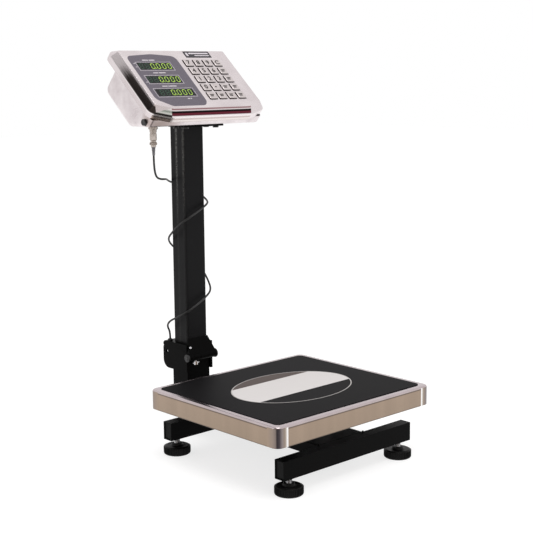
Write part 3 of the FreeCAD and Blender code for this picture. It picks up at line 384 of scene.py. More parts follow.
grommet_low, grommet_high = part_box("lead_grommet")
rubber_finish, tree, shader = material("moulded black nitrile rubber", "131314", 0.62, 0.0006, 0.00003,
    specular=0.35, uneven=0.08)
grommet_radius = (grommet_high[0] - grommet_low[0]) / 2
grommet = turned("lead_entry_grommet", [
    (grommet_radius - 0.0004, 0), (grommet_radius, 0.0006), (grommet_radius, 0.0026),
    (grommet_radius - 0.0012, 0.0038), (0.0019, 0.0040)],
    (*middle("lead_grommet")[:2], grommet_low[2]), rubber_finish, steps=32)
settle(grommet, "mast", "pad_rubber", "lead_grommet")

# -------- levelling feet
# Four feet: a moulded black nylon disc with a ribbed rim for the fingers, turning on a
# bright M10 stud that screws up into the cross beam.
FEET = ("front_left", "front_right", "rear_left", "rear_right")
THREAD_PITCH = 0.0015
THREAD_DEPTH = 0.0009
foot_finish, tree, shader = material("moulded black nylon", "0c0c0c", 0.42, 0.0009, 0.00004, specular=0.15,
    uneven=0.1)
stud_finish, tree, shader = material("bright zinc plated machined steel", "c9c9cb", 0.2, 0.0016, 0.00002,
    metallic=1.0, uneven=0.08, tones=("b9b9bd", "d4d4d4"))


def threaded(name, centre, low, high, radius, finish):
    """A threaded stud: one continuous helical groove between two plain ends."""
    around, rows = 28, max(8, round((high - low) / THREAD_PITCH * 6))
    rings = []
    for row in range(rows + 1):
        height = low + (high - low) * row / rows
        depth_here = min(1.0, row / 3, (rows - row) / 3)
        ring = []
        for k in range(around):
            turn = (height - low) / THREAD_PITCH - k / around
            reach = radius - THREAD_DEPTH * (1 - abs((turn % 1.0) * 2 - 1) * depth_here)
            angle = 2 * math.pi * k / around
            ring.append((centre[0] + reach * math.cos(angle), centre[1] + reach * math.sin(angle), height))
        rings.append(ring)
    return stacked(name, [rings], finish, 40)


for foot in FEET:
    disc_low, disc_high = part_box("foot_disc_" + foot)
    centre = (*middle("foot_disc_" + foot)[:2], disc_low[2])
    reach = (disc_high[0] - disc_low[0]) / 2
    disc = turned("foot_pad_" + foot, [
        (0, 0.0006), (reach - 0.006, 0.0006), (reach - 0.004, 0), (reach - 0.0022, 0),
        (reach - 0.0006, 0.0012),
        (reach - 0.0006, 0.0026), (reach - 0.0014, 0.0032), (reach - 0.0014, 0.0118), (reach - 0.002, 0.0130),
        (reach - 0.0034, 0.0138), (reach - 0.0052, 0.0139), (0.0125, 0.0134), (0.0098, 0.0140),
        (0.0092, 0.0150), (0.0088, 0.0174), (0.0082, 0.0180), (0.0056, 0.0180), (0.0053, 0.0176)],
        centre, foot_finish, steps=64)
    settle(disc, "disc_" + foot, "foot_plastic", "foot_disc_" + foot)
    grip = made_by(ribs, "foot_grip_" + foot, {
        "Ribs": 48, "Radius": reach - 0.0012, "Width": 0.0016, "Depth": 0.0022, "Height": 0.0100,
        "Centre": (centre[0], centre[1], 0.0073)}, foot_finish)
    settle(grip, "disc_" + foot, "foot_plastic")
    stud_low, stud_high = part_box("foot_stud_" + foot)
    stud = threaded("foot_screw_" + foot, centre, stud_low[2] + 0.0088, stud_high[2],
                    (stud_high[0] - stud_low[0]) / 2, stud_finish)
    settle(stud, "stud_" + foot, "chrome", "foot_stud_" + foot)

# -------- base frame
# Two cross beams and a folded channel of mild steel, welded, with a square post behind, all
# powder coated satin black. The beams' open ends have pressed-in plastic plugs.
coat_finish, tree, shader = material("satin black powder coat on steel", "060606", 0.36, 0.0011, 0.00005,
    specular=0.035, uneven=0.07, tones=("040404", "080808"))


def softened(node, name, finish, edge, body, slot):
    """Stands a merged copy with its sharp edges rounded by that radius in for a frame node."""
    source = frame["nodes"][node]
    mesh = source.data.copy()
    mesh.transform(source.matrix_world)
    mesh.materials.clear()
    if "custom_normal" in mesh.attributes:
        mesh.attributes.remove(mesh.attributes["custom_normal"])
    shape = bmesh.new()
    shape.from_mesh(mesh)
    bmesh.ops.remove_doubles(shape, verts=shape.verts, dist=2e-6)
    bmesh.ops.dissolve_limit(shape, angle_limit=math.radians(0.5), verts=shape.verts, edges=shape.edges)
    for face in shape.faces:
        face.smooth = True
    shape.to_mesh(mesh)
    mesh.update()
    made = link_mesh(name, mesh, finish, 40)
    rounding = made.modifiers.new("rounded edges", "BEVEL")
    rounding.width = edge
    rounding.segments = 2
    rounding.limit_method = "ANGLE"
    rounding.angle_limit = math.radians(40)
    rounding.harden_normals = True
    settle(made, body, slot, node)


for node in ("front_beam", "rear_beam", "spine", "post"):
    softened(node, node + "_coated", coat_finish, 0.0012, "base", "powder_coat")

plug_finish, tree, shader = material("moulded black polyethylene", "0a0a0a", 0.5, 0.0007, 0.00004,
    specular=0.1, uneven=0.08)
softened("beam_end_plugs", "beam_end_caps", plug_finish, 0.0008, "base", "black_plastic")


# a weld bead: overlapping flat drops laid along a straight seam
weld, given = geometry_tree("weld bead", {
    "Start": "Vector", "End": "Vector", "Drop": "Float", "Spacing": "Float", "Finish": "Material",
    "Seed": "Int"})
seam = add(weld, "GeometryNodeCurvePrimitiveLine", {"Start": given["Start"], "End": given["End"]})
drops = add(weld, "GeometryNodeCurveToPoints", {"Curve": seam, "Length": given["Spacing"]}, mode="LENGTH")
drop = add(weld, "GeometryNodeMeshIcoSphere", {"Subdivisions": 2, "Radius": given["Drop"]})
vary = add(weld, "FunctionNodeRandomValue", {2: 0.85, 3: 1.1, "Seed": given["Seed"]}, data_type="FLOAT")
closed(weld, add(weld, "GeometryNodeInstanceOnPoints", {"Points": drops, "Instance": drop, "Scale": vary}),
       given)

spine_low, spine_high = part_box("spine")
post_low, post_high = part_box("post")
front_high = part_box("front_beam")[1]
rear_low, rear_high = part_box("rear_beam")
SEAMS = [((post_low[0], post_low[1], post_low[2]), (post_high[0], post_low[1], post_low[2]))]
SEAMS += [((x, post_low[1], post_low[2]), (x, post_high[1], post_low[2]))
          for x in (post_low[0], post_high[0])]
SEAMS += [((x, y, spine_low[2] + 0.002), (x, y, top)) for y, top in (
    (front_high[1], front_high[2]), (rear_low[1], rear_high[2])) for x in (spine_low[0], spine_high[0])]
for number, (start, end) in enumerate(SEAMS, start=1):
    bead = made_by(weld, "weld_bead_%d" % number,
                   {"Start": start, "End": end, "Drop": 0.0021, "Spacing": 0.0016, "Seed": number},
                   coat_finish, 60)
    settle(bead, "base", "powder_coat")

# -------- weighing gear
# An aluminium single point load cell between zinc plated spacers, carrying two coated tube
# rails and two crossbars, with rubber pads that the pan sits on. Weld nuts hold the studs.
cell_finish, tree, shader = material("milled aluminium", "c4c6c9", 0.34, 0.0008, 0.00003, metallic=1.0,
    stretch=(6, 1, 1), uneven=0.08)
softened("load_cell", "load_cell_bar", cell_finish, 0.0008, "base", "cell_aluminium")
softened("cell_spacers", "cell_spacer_plates", stud_finish, 0.0005, "base", "zinc_steel")
for node in ("support_rails", "support_crossbars"):
    softened(node, node + "_coated", coat_finish, 0.001, "base", "powder_coat")


def dress(node, finish):
    """Gives a frame node that is shown as it is its finish."""
    frame["nodes"][node].data.materials.clear()
    frame["nodes"][node].data.materials.append(finish)


dress("pan_pads", rubber_finish)
dress("foot_nuts", stud_finish)

# -------- pan
# A deep-drawn tray of bright stainless sheet laid over the rails. Its top edge is rounded and
# its skirt is bent down square, so the skirt mirrors the bench and the top edge the ceiling;
# these reflections are partly real and partly painted into its colour.
PAN_SHEET = 0.001
PAN_CORNER = 0.012
PAN_ROUND = 0.003
PAN_ROUND_STEPS = 5
ARC_STEPS = 7


def inset_corners(corners, distance):
    """The corners of the outline moved inwards by that distance."""
    moved = []
    for index, corner in enumerate(corners):
        corner = Vector(corner)
        before = (corner - Vector(corners[index - 1])).normalized()
        after = (Vector(corners[(index + 1) % len(corners)]) - corner).normalized()
        inward = Vector((-before.y, before.x)), Vector((-after.y, after.x))
        both = (inward[0] + inward[1]).normalized()
        moved.append(corner + both * distance / both.dot(inward[0]))
    return moved


def rectangle(left, right, low, high):
    """A rectangle's corners, anticlockwise."""
    return [(left, low), (right, low), (right, high), (left, high)]


def arc_outline(corners, radii, steps=ARC_STEPS, inset=0.0):
    """A closed outline inside those corners, anticlockwise, each corner rounded by its radius."""
    corners = inset_corners(corners, inset)
    outline = []
    for index, corner in enumerate(corners):
        corner = Vector(corner)
        before = (Vector(corners[index - 1]) - corner).normalized()
        after = (Vector(corners[(index + 1) % len(corners)]) - corner).normalized()
        half = before.angle(after) / 2
        radius = max(radii[index], 1e-5)
        centre = corner + (before + after).normalized() * radius / math.sin(half)
        first = (corner + before * radius / math.tan(half)) - centre
        last = (corner + after * radius / math.tan(half)) - centre
        sweep_angle = first.angle(last)
        for step in range(steps + 1):
            share = step / steps
            outline.append(centre + (first * math.sin((1 - share) * sweep_angle)
                                     + last * math.sin(share * sweep_angle)) / math.sin(sweep_angle))
    return outline


def sheet_ring(node, corner, inset, height):
    """A ring that far inside a sheet's outline, with that corner radius outside, at that height."""
    low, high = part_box(node)
    outline = arc_outline(rectangle(low[0], high[0], low[1], high[1]), [corner - inset] * 4, inset=inset)
    return [(*point, height) for point in outline]


def coordinates(tree, frame_of_its_own=None):
    """Object coordinates, in a frame of the piece's own if one is given: the whole vector, and its axes."""
    place = add(tree, "ShaderNodeTexCoord").outputs["Object"]
    if frame_of_its_own:
        place = add(tree, "ShaderNodeMapping", {**frame_of_its_own, "Vector": place},
                    vector_type="TEXTURE").outputs["Vector"]
    return place, add(tree, "ShaderNodeSeparateXYZ", {"Vector": place}).outputs


pan_low, pan_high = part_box("pan")
pan_finish, tree, shader = material("bright rolled stainless steel", "b7aba9", 0.2, metallic=1.0)
# rolled sheet keeps fine lines along the rolling direction
grain(tree, shader, 0.0007, 0.00001, stretch=(60, 60, 1), uneven=0.06)
place, axes = coordinates(tree)
# painted reflection: the skirt is painted with the warm tone of the bench below it, in soft upright bands,
# with a dark line at the hem and at the bend and the pale ceiling on the top edge
up_skirt = add(tree, "ShaderNodeMapRange", {"From Min": pan_low[2], "From Max": pan_high[2],
                                            "Value": axes["Z"]})
bench_reflection_tone = stops(add(tree, "ShaderNodeValToRGB", {"Fac": up_skirt}), [
    (0.0, "5f544d"), (0.06, "988777"), (0.82, "9c8a7a"), (0.88, "5d504a"), (0.93, "c9bdbd"), (1.0, "c4b8bb")])
across = add(tree, "ShaderNodeMath", {0: axes["X"], 1: axes["Y"]}, operation="ADD")
reflection_band_noise = add(tree, "ShaderNodeTexNoise", {"Scale": 26.0, "Detail": 2.0, "W": across}, noise_dimensions="1D")
reflection_band_tone = add(tree, "ShaderNodeMapRange",
                {"From Min": 0.35, "From Max": 0.65, "To Min": 0.94, "To Max": 1.03, "Value": reflection_band_noise})
banded_bench_reflection = add(tree, "ShaderNodeVectorMath", {0: bench_reflection_tone, "Scale": reflection_band_tone}, operation="SCALE")
# painted reflection: each rounded corner of the skirt is painted with the whole room as a few dark and bright
# upright lines, ending in a white highlight line
CORNER_ZONE = 0.022
edges = []
for axis, centre in enumerate(middle("pan")[:2]):
    offset = add(tree, "ShaderNodeMath", {0: axes["XY"[axis]], 1: centre}, operation="SUBTRACT")
    apart = add(tree, "ShaderNodeMath", {0: offset}, operation="ABSOLUTE")
    edges.append(add(tree, "ShaderNodeMath", {0: pan_high[axis] - centre, 1: apart}, operation="SUBTRACT"))
farther = add(tree, "ShaderNodeMath", {0: edges[0], 1: edges[1]}, operation="MAXIMUM")
at_corner = add(tree, "ShaderNodeMath", {0: farther, 1: CORNER_ZONE}, operation="LESS_THAN")
on_skirt = add(tree, "ShaderNodeMath", {0: axes["Z"], 1: pan_high[2] - 0.0022}, operation="LESS_THAN")
lean = add(tree, "ShaderNodeMath", {0: edges[0], 1: edges[1]}, operation="SUBTRACT")
round_share = add(tree, "ShaderNodeMapRange", {"From Min": -CORNER_ZONE, "From Max": CORNER_ZONE,
                                               "Value": lean})
painted_corner_reflection = stops(add(tree, "ShaderNodeValToRGB", {"Fac": round_share}), [
    (0.0, "9c8a7a"), (0.28, "8f8178"), (0.41, "7d716c"), (0.47, "332e31"), (0.60, "464043"), (0.72, "837a79"),
    (0.86, "948678"), (1.0, "ffffff"), (1.0, "9c8a7a")])
# lays the painted corner reflection over the painted bench reflection on the skirt
tree.links.new(masked(tree, banded_bench_reflection, painted_corner_reflection, at_corner, on_skirt), shader.inputs["Base Color"])

# the sheet from inside the skirt, down and round its hem, and up to the top edge
pan_rings = [(PAN_SHEET + 0.002, pan_high[2] - PAN_SHEET), (PAN_SHEET, pan_high[2] - 0.003),
             (PAN_SHEET, pan_low[2] + 0.0004), (PAN_SHEET * 0.6, pan_low[2]), (PAN_SHEET * 0.3, pan_low[2]),
             (0, pan_low[2] + 0.0004)]
for step in range(PAN_ROUND_STEPS + 1):
    turn = math.pi / 2 * step / PAN_ROUND_STEPS
    pan_rings.append((PAN_ROUND * (1 - math.cos(turn)), pan_high[2] - PAN_ROUND * (1 - math.sin(turn))))
pan_rings = [sheet_ring("pan", PAN_CORNER, inset, height) for inset, height in pan_rings]
settle(stacked("pan_tray_sheet", [pan_rings], pan_finish, 30), "pan_tray", "pan_stainless", "pan")

# -------- mat
# A 1 mm black PVC mat glued on the pan, screen printed with a plain oval: a pale band across
# the middle, a grey-brown cap behind it, a black cap in front and a fine pale outline.
OVAL_CENTRE = (0.0015, -0.0865)
OVAL_HALF = (0.111, 0.0815)
OVAL_LINE = 0.018
BAND_BACK, BAND_FRONT = -0.0368, -0.1186
MAT_CORNER = 0.009
MAT_EDGE = 0.0004
mat_finish, tree, shader = material("screen printed black PVC sheet", "1d1c1e", 0.5, specular=0.03)
place, axes = coordinates(tree)
centred = coordinates(tree, {"Location": (*OVAL_CENTRE, 0), "Scale": (*OVAL_HALF, 1)})[0]
flat = add(tree, "ShaderNodeVectorMath", {0: centred, 1: (1, 1, 0)}, operation="MULTIPLY")
reach = add(tree, "ShaderNodeVectorMath", {0: flat}, operation="LENGTH")
outer, inside = [add(tree, "ShaderNodeMath", {0: reach, 1: edge}, operation="LESS_THAN")
                 for edge in (1.0, 1 - OVAL_LINE)]
before_back, before_front = [add(tree, "ShaderNodeMath", {0: axes["Y"], 1: edge}, operation="LESS_THAN")
                             for edge in (BAND_BACK, BAND_FRONT)]
ground_noise = add(tree, "ShaderNodeTexNoise", {"Scale": 9.0, "Detail": 2.0, "Vector": place})
ground = stops(add(tree, "ShaderNodeValToRGB", {"Fac": ground_noise}), [(0.0, "0c0b0d"), (1.0, "131214")])
layer = ground.outputs["Color"]
for code, *masks in (("b9b6b4", outer), ("5c5350", inside), ("d6d3d2", inside, before_back),
                     ("121113", inside, before_front)):
    layer = masked(tree, layer, linear(code), *masks)
tree.links.new(layer, shader.inputs["Base Color"])
# the sheet's cast face is slightly pebbled, drawn at 1.2 mm so that it shows
pebble = add(tree, "ShaderNodeTexNoise", {"Scale": 850.0, "Detail": 3.0, "Vector": place})
bump = add(tree, "ShaderNodeBump", {"Strength": 1.0, "Distance": 0.00003, "Height": pebble})
tree.links.new(bump.outputs["Normal"], shader.inputs["Normal"])
mat_low, mat_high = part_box("pan_mat")
mat_rings = [sheet_ring("pan_mat", MAT_CORNER, inset, height) for inset, height in (
    (0, mat_low[2]), (0, mat_high[2] - MAT_EDGE), (MAT_EDGE, mat_high[2]))]
settle(stacked("pan_printed_mat", [mat_rings], mat_finish, 30), "pan_tray", "printed_mat", "pan_mat")

# -------- hinge
# A plate yoke under the mast, folded and welded and coated satin black, which turns on a black
# bolt through the post's lug. A plated screw with a small bar clamps it.
softened("hinge_yoke", "hinge_yoke_coated", coat_finish, 0.0007, "mast", "powder_coat")
softened("hinge_lug", "hinge_lug_coated", coat_finish, 0.0006, "base", "powder_coat")
black_screw_finish, tree, shader = material("black oxide on machined steel", "121213", 0.28, 0.001, 0.00002,
    specular=0.45, uneven=0.06)
softened("pivot_bolt", "hinge_bolt", black_screw_finish, 0.0005, "base", "zinc_steel")
softened("clamp_screw", "hinge_clamp_screw", chrome_finish, 0.0005, "clamp", "chrome")

yoke_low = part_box("hinge_yoke")[0]
PAN_HEAD_RADIUS = 0.0023
SLOPE_SCREW_AT = (yoke_low[0] + 0.0060, 0.1440, 0.1471)


def pan_head(name, at, facing, finish):
    """A small pan head screw with a round dished recess, its underside at that point."""
    head = turned(name, [
        (0, 0), (PAN_HEAD_RADIUS, 0), (PAN_HEAD_RADIUS, 0.0008), (PAN_HEAD_RADIUS * 0.82, 0.0016),
        (PAN_HEAD_RADIUS * 0.45, 0.0020), (PAN_HEAD_RADIUS * 0.3, 0.0020), (PAN_HEAD_RADIUS * 0.16, 0.0011),
        (0, 0.0010)], (0, 0, 0), finish, steps=24, smooth=30)
    head.data.transform(Matrix.Translation(at) @ Vector(facing).to_track_quat("Z", "Y").to_matrix().to_4x4())
    return head


settle(pan_head("yoke_slope_screw", SLOPE_SCREW_AT, (0, -0.882, 0.472), chrome_finish), "mast", "chrome")

# -------- mast
# A rectangular steel tube with a fine textured powder coat, whose grains catch the light as
# specks; the brightest specks are painted highlights. The plate on its top is coated like the frame
# and takes four screws into the head.
texture_finish, tree, shader = material("fine textured black powder coat", "0a0a0b", 0.36, specular=0.1)
# the coat's grains are about 0.4 mm, drawn at 1.3 mm so that they show
grain(tree, shader, 0.0013, 0.00022, uneven=0.12, tones=("09090a", "151517"))
# painted highlights: two soft upright streaks of bright specks painted on the left face, brightest under the
# head
column_low, column_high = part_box("column")
place, axes = coordinates(tree)
across = add(tree, "ShaderNodeMapRange",
             {"From Min": column_low[1], "From Max": column_high[1], "Value": axes["Y"]})
painted_highlight_streaks = stops(add(tree, "ShaderNodeValToRGB", {"Fac": across}), [
    (0.0, "000000"), (0.06, "d0d0d0"), (0.16, "101010"), (0.44, "101010"), (0.53, "ffffff"), (0.63, "000000"),
    (1.0, "000000")])
highlight_fade_up = add(tree, "ShaderNodeMapRange", {"From Min": column_high[2] - 0.17, "From Max": column_high[2],
                                           "To Min": 0.04, "To Max": 0.5, "Value": axes["Z"]})
left_face = add(tree, "ShaderNodeMath", {0: axes["X"], 1: column_low[0] + 0.0030}, operation="LESS_THAN")
highlight_speck_noise = add(tree, "ShaderNodeTexNoise", {"Scale": 700.0, "Detail": 2.0, "Vector": place})
highlight_specks = add(tree, "ShaderNodeMapRange", {"From Min": 0.4, "From Max": 0.65, "Value": highlight_speck_noise})
under = shader.inputs["Base Color"].links[0].from_socket
# lays the painted highlight colour over the coat where the streak, height, face and speck masks meet
tree.links.new(masked(tree, under, linear("c8c8c4"), painted_highlight_streaks, highlight_fade_up, left_face, highlight_specks),
               shader.inputs["Base Color"])
dress("column", texture_finish)
softened("head_plate", "head_plate_coated", coat_finish, 0.0006, "mast", "powder_coat")
dress("head_screws", black_screw_finish)

# -------- head housing
# Two folded shells of polished stainless sheet: a cover with a bevel all round and cut lower
# corners, and a box behind it. Their broad faces are satin and their folds are mirror bright; the
# folds' reflections are painted into the cover's colour.
press = next(joint["axis"] for joint in frame["record"]["behaviour"]["joints"]
             if joint["name"] == "key_1_1_press")
FACE_OUT = -Vector(press)
FACE_UP = FACE_OUT.cross(Vector((1, 0, 0)))
FACE_LEVEL = 0.011
KEY_SIZE = 0.0165
KEY_PROUD = 0.0022
KEY_DEPTH = 0.008
KEY_FIRST = (0.0155, 0.0386)
KEY_PITCH = (0.0216, 0.0208)
HEAD_AT = (Vector(middle("key_1_1")) - Vector((1, 0, 0)) * KEY_FIRST[0] - FACE_UP * KEY_FIRST[1]
           - FACE_OUT * (FACE_LEVEL + KEY_PROUD - KEY_DEPTH / 2))
HEAD_TURN = Matrix(((1, 0, 0), FACE_UP, FACE_OUT)).transposed()
HEAD = Matrix.Translation(HEAD_AT) @ HEAD_TURN.to_4x4()
HEAD_AXES = {"Location": HEAD_AT, "Rotation": HEAD_TURN.to_euler()}

head_finish, tree, shader = material("polished and satin stainless steel", "e2dbdc", 0.26, metallic=1.0)
# a satin grain of 0.6 mm along the sheet, and faint clouds about 40 mm across from handling
grain(tree, shader, 0.0006, 0.000006, stretch=(50, 1, 1), uneven=0.05)
place = coordinates(tree)[0]
axes = coordinates(tree, HEAD_AXES)[1]
clouds = add(tree, "ShaderNodeTexNoise", {"Scale": 22.0, "Detail": 2.0, "Vector": place})
cloud_tone = stops(add(tree, "ShaderNodeValToRGB", {"Fac": clouds}), [(0.3, "dbd2d4"), (0.7, "e9e2e3")])
# painted reflection: the folds are painted with the dark and bright edges of the room as lines along the bend
FOLD_BACK, FOLD_FRONT, FOLD_SPAN = -0.0111, 0.0108, 0.011
LOW_FOLD, LEFT_FOLD, CUT_CORNER = -0.0707, -0.1148, 0.0868
fold_height = add(tree, "ShaderNodeMapRange", {"From Min": -FOLD_SPAN, "From Max": FOLD_SPAN,
                                               "Value": axes["Z"]})
low_fold_painted_reflection = stops(add(tree, "ShaderNodeValToRGB", {"Fac": fold_height}), [
    (0.0, "cfc4c0"), (0.18, "e9e2e0"), (0.30, "b9aaa6"), (0.48, "efe9e9"), (0.56, "f4eeee"), (0.60, "5a2530"),
    (0.70, "6d2c38"), (0.74, "171314"), (0.82, "1d1818"), (0.86, "f1eaea"), (0.93, "7b3a44"),
    (1.0, "e6dede")])
side_fold_painted_reflection = stops(add(tree, "ShaderNodeValToRGB", {"Fac": fold_height}), [
    (0.0, "d5cccd"), (0.40, "d9d0d1"), (0.47, "f2eded"), (0.52, "6f6765"), (0.56, "3d3836"), (0.88, "4a4442"),
    (0.95, "ded6d7"), (1.0, "ebe5e6")])
cut_fold_painted_reflection = stops(add(tree, "ShaderNodeValToRGB", {"Fac": fold_height}), [
    (0.0, "9a8a80"), (0.22, "b7a99f"), (0.34, "5d544f"), (0.44, "efeae8"), (0.53, "1b1817"), (0.60, "2a2725"),
    (0.66, "e4e6e1"), (0.78, "8f9a90"), (0.90, "f0ecec"), (1.0, "e6dede")])
# the painted dark reflection band on the left fold frays out towards the head's upper third
reflection_fray_noise = add(tree, "ShaderNodeTexNoise", {"Scale": 900.0, "Detail": 1.0, "W": axes["Z"]}, noise_dimensions="1D")
frayed_reflection_edge = add(tree, "ShaderNodeMath", {0: reflection_fray_noise, 1: 0.035, 2: axes["Y"]}, operation="MULTIPLY_ADD")
painted_fade = add(tree, "ShaderNodeMapRange",
              {"From Min": 0.030, "From Max": 0.060, "To Min": 1.0, "To Max": 0.0, "Value": frayed_reflection_edge})
# the painted reflection stripes of the lower fold stop where the cut corners begin; the left corner is
# painted with the room's reflection
off_middle = add(tree, "ShaderNodeMath", {0: axes["X"]}, operation="ABSOLUTE")
past_rim = add(tree, "ShaderNodeMath", {0: axes["Z"], 1: FOLD_BACK}, operation="GREATER_THAN")
in_front, on_low, on_left, on_cut, on_straight = [
    add(tree, "ShaderNodeMath", {0: source, 1: limit}, operation="LESS_THAN") for source, limit in (
        (axes["Z"], FOLD_FRONT), (axes["Y"], LOW_FOLD), (axes["X"], LEFT_FOLD), (axes["X"], -CUT_CORNER),
        (off_middle, CUT_CORNER))]
# the painted fold reflections are laid over the satin face colour, one fold at a time
colour = masked(tree, cloud_tone, side_fold_painted_reflection, on_left, in_front, past_rim, painted_fade)
colour = masked(tree, colour, low_fold_painted_reflection, on_low, in_front, past_rim, on_straight)
colour = masked(tree, colour, cut_fold_painted_reflection, on_low, in_front, past_rim, on_cut)
tree.links.new(colour, shader.inputs["Base Color"])
softened("head_cover", "head_cover_sheet", head_finish, 0.0006, "mast", "head_stainless")

box_finish, tree, shader = material("satin stainless steel sheet", "ddd5d6", 0.3, 0.03, 0.0, metallic=1.0,
    uneven=0.05, tones=("d2c9cb", "e6dfe0"))
# painted reflection: a warm brown reflection of the bench is painted near the button and the connector
near = coordinates(tree, {"Location": (-0.098, 0.121, 0.545), "Scale": (0.055, 0.020, 0.020)})[0]
how_far = add(tree, "ShaderNodeVectorMath", {0: near}, operation="LENGTH")
bench_reflection_share = add(tree, "ShaderNodeMapRange",
           {"From Min": 0.2, "From Max": 1.0, "To Min": 0.85, "To Max": 0.0, "Value": how_far})
under = shader.inputs["Base Color"].links[0].from_socket
tree.links.new(masked(tree, under, linear("8d7568"), bench_reflection_share), shader.inputs["Base Color"])
softened("head_box", "head_box_sheet", box_finish, 0.0004, "mast", "head_stainless")

# inside: a green display board, the keypad's board and a sealed battery
board_finish, tree, shader = material("green solder mask on glass epoxy board", "1d5a34", 0.35, 0.003, 0.0,
    uneven=0.08, tones=("17502d", "24683d"))
battery_finish, tree, shader = material("moulded black ABS battery case", "1d1d20", 0.5, 0.0008, 0.00003,
    uneven=0.08)
dress("display_board", board_finish)
dress("keypad_board", board_finish)
dress("battery", battery_finish)


# -------- display
# A printed polyester film stuck on the face, dark purple grey, with three clear windows framed
# in white. Behind them green LED digits glow on a black-green filter.
def head_points(outline, height):
    """Points of the head's own plane, at that height above the rim, in the row frame."""
    return [HEAD @ Vector((*point, height)) for point in outline]


FILM_TOP = FACE_LEVEL + 0.0004
film_finish, tree, shader = material("printed polyester film", "5b5560", 0.3, 0.0009, 0.00001, specular=0.45,
    uneven=0.05, tones=("554f5a", "625c68"))
FILM_CORNERS = [(-0.080, -0.0668), (-0.0105, -0.0668), (-0.0035, -0.0560), (-0.003, 0.0570), (-0.053, 0.0622),
                (-0.1065, 0.0570), (-0.1065, -0.0490)]
FILM_RADII = [0.012, 0.012, 0.010, 0.012, 0.060, 0.010, 0.014]
film_rings = [head_points(arc_outline(FILM_CORNERS, FILM_RADII, inset=inset), height)
              for inset, height in ((0, FACE_LEVEL), (0, FILM_TOP - 0.0001), (0.0001, FILM_TOP))]
settle(stacked("display_film", [film_rings], film_finish, 30), "mast", "overlay_film", "display_overlay")

print_finish, tree, shader = material("white screen print ink", "cfc9cf", 0.5, 0.0005, 0.0, uneven=0.05,
    tones=("c4bec5", "dad5da"))
glass_finish, tree, shader = material("black-green acrylic filter", "07110c", 0.12, 0.02, 0.0, specular=0.2,
    uneven=0.03, tones=("08100b", "0c1710"))
# each window: left edge, width, middle height, and where its last digit stands
WINDOWS = [(-0.0945, 0.0695, 0.0313, -0.0301), (-0.0950, 0.0685, -0.0020, -0.0320),
           (-0.0955, 0.0785, -0.0342, -0.0258)]
PLACES, LIT_PLACES = 6, 4
WINDOW_HEIGHT = 0.017
FRAME_GAP, FRAME_LINE = 0.0022, 0.0007


def slabs(name, rectangles, low, high, finish, corner=1e-5):
    """Flat printed or moulded rectangles on the head's face, as one mesh: left, right, bottom, top."""
    outlines = [arc_outline(rectangle(*sides), [corner] * 4, 3) for sides in rectangles]
    return stacked(name, [[head_points(outline, low), head_points(outline, high)] for outline in outlines],
                   finish)


PRINT_THICK = 0.00006
frames, glasses = [], []
for left, width, centre, last in WINDOWS:
    low, high = centre - WINDOW_HEIGHT / 2, centre + WINDOW_HEIGHT / 2
    glasses.append((left, left + width, low, high))
    left, right, low, high = left - FRAME_GAP, left + width + FRAME_GAP, low - FRAME_GAP, high + FRAME_GAP
    frames += [(left, right, high - FRAME_LINE, high), (left, right, low, low + FRAME_LINE),
               (left, left + FRAME_LINE, low + FRAME_LINE, high - FRAME_LINE),
               (right - FRAME_LINE, right, low + FRAME_LINE, high - FRAME_LINE)]
settle(slabs("window_frames", frames, FILM_TOP, FILM_TOP + PRINT_THICK, print_finish), "mast", "overlay_film")
settle(slabs("window_glass", glasses, FILM_TOP, FILM_TOP + 0.00012, glass_finish, 0.0006), "mast",
       "overlay_film")
# plain bars stand for the printed captions and units
captions = [(-0.0790, -0.0660, 0.0455, 0.0475), (-0.0645, -0.0530, 0.0455, 0.0475),
            (-0.0740, -0.0640, 0.0135, 0.0155), (-0.0625, -0.0480, 0.0135, 0.0155),
            (-0.0750, -0.0640, -0.0195, -0.0175), (-0.0625, -0.0450, -0.0195, -0.0175),
            (-0.1015, -0.0975, 0.0375, 0.0387), (-0.1015, -0.0975, 0.0290, 0.0302),
            (-0.1015, -0.0975, -0.0085, -0.0073),
            (-0.0400, -0.0355, -0.0505, -0.0485), (-0.0340, -0.0310, -0.0505, -0.0485)]
settle(slabs("printed_bars", captions, FILM_TOP, FILM_TOP + PRINT_THICK, print_finish, 0.0005), "mast",
       "overlay_film")


# puts one segment's shape on every point, turned by the point's own angle
segments, given = geometry_tree("display segments", {
    "Geometry": "Geometry", "Length": "Float", "Width": "Float", "Thickness": "Float", "Finish": "Material"})
bar = add(segments, "GeometryNodeMeshCylinder", {"Vertices": 6, "Radius": 0.5, "Depth": 1.0})
big = add(segments, "ShaderNodeCombineXYZ", {"X": given["Length"], "Y": given["Width"],
                                             "Z": given["Thickness"]})
shaped = add(segments, "GeometryNodeTransform", {"Geometry": bar, "Scale": big})
angle = add(segments, "GeometryNodeInputNamedAttribute", {"Name": "angle"}, data_type="FLOAT")
turn = add(segments, "ShaderNodeCombineXYZ", {"Z": angle})
closed(segments, add(segments, "GeometryNodeInstanceOnPoints",
                     {"Points": given["Geometry"], "Instance": shaped, "Rotation": turn}), given)

DIGIT_WIDTH, DIGIT_HEIGHT, DIGIT_PITCH, DIGIT_SLANT = 0.0064, 0.0120, 0.0117, 0.12
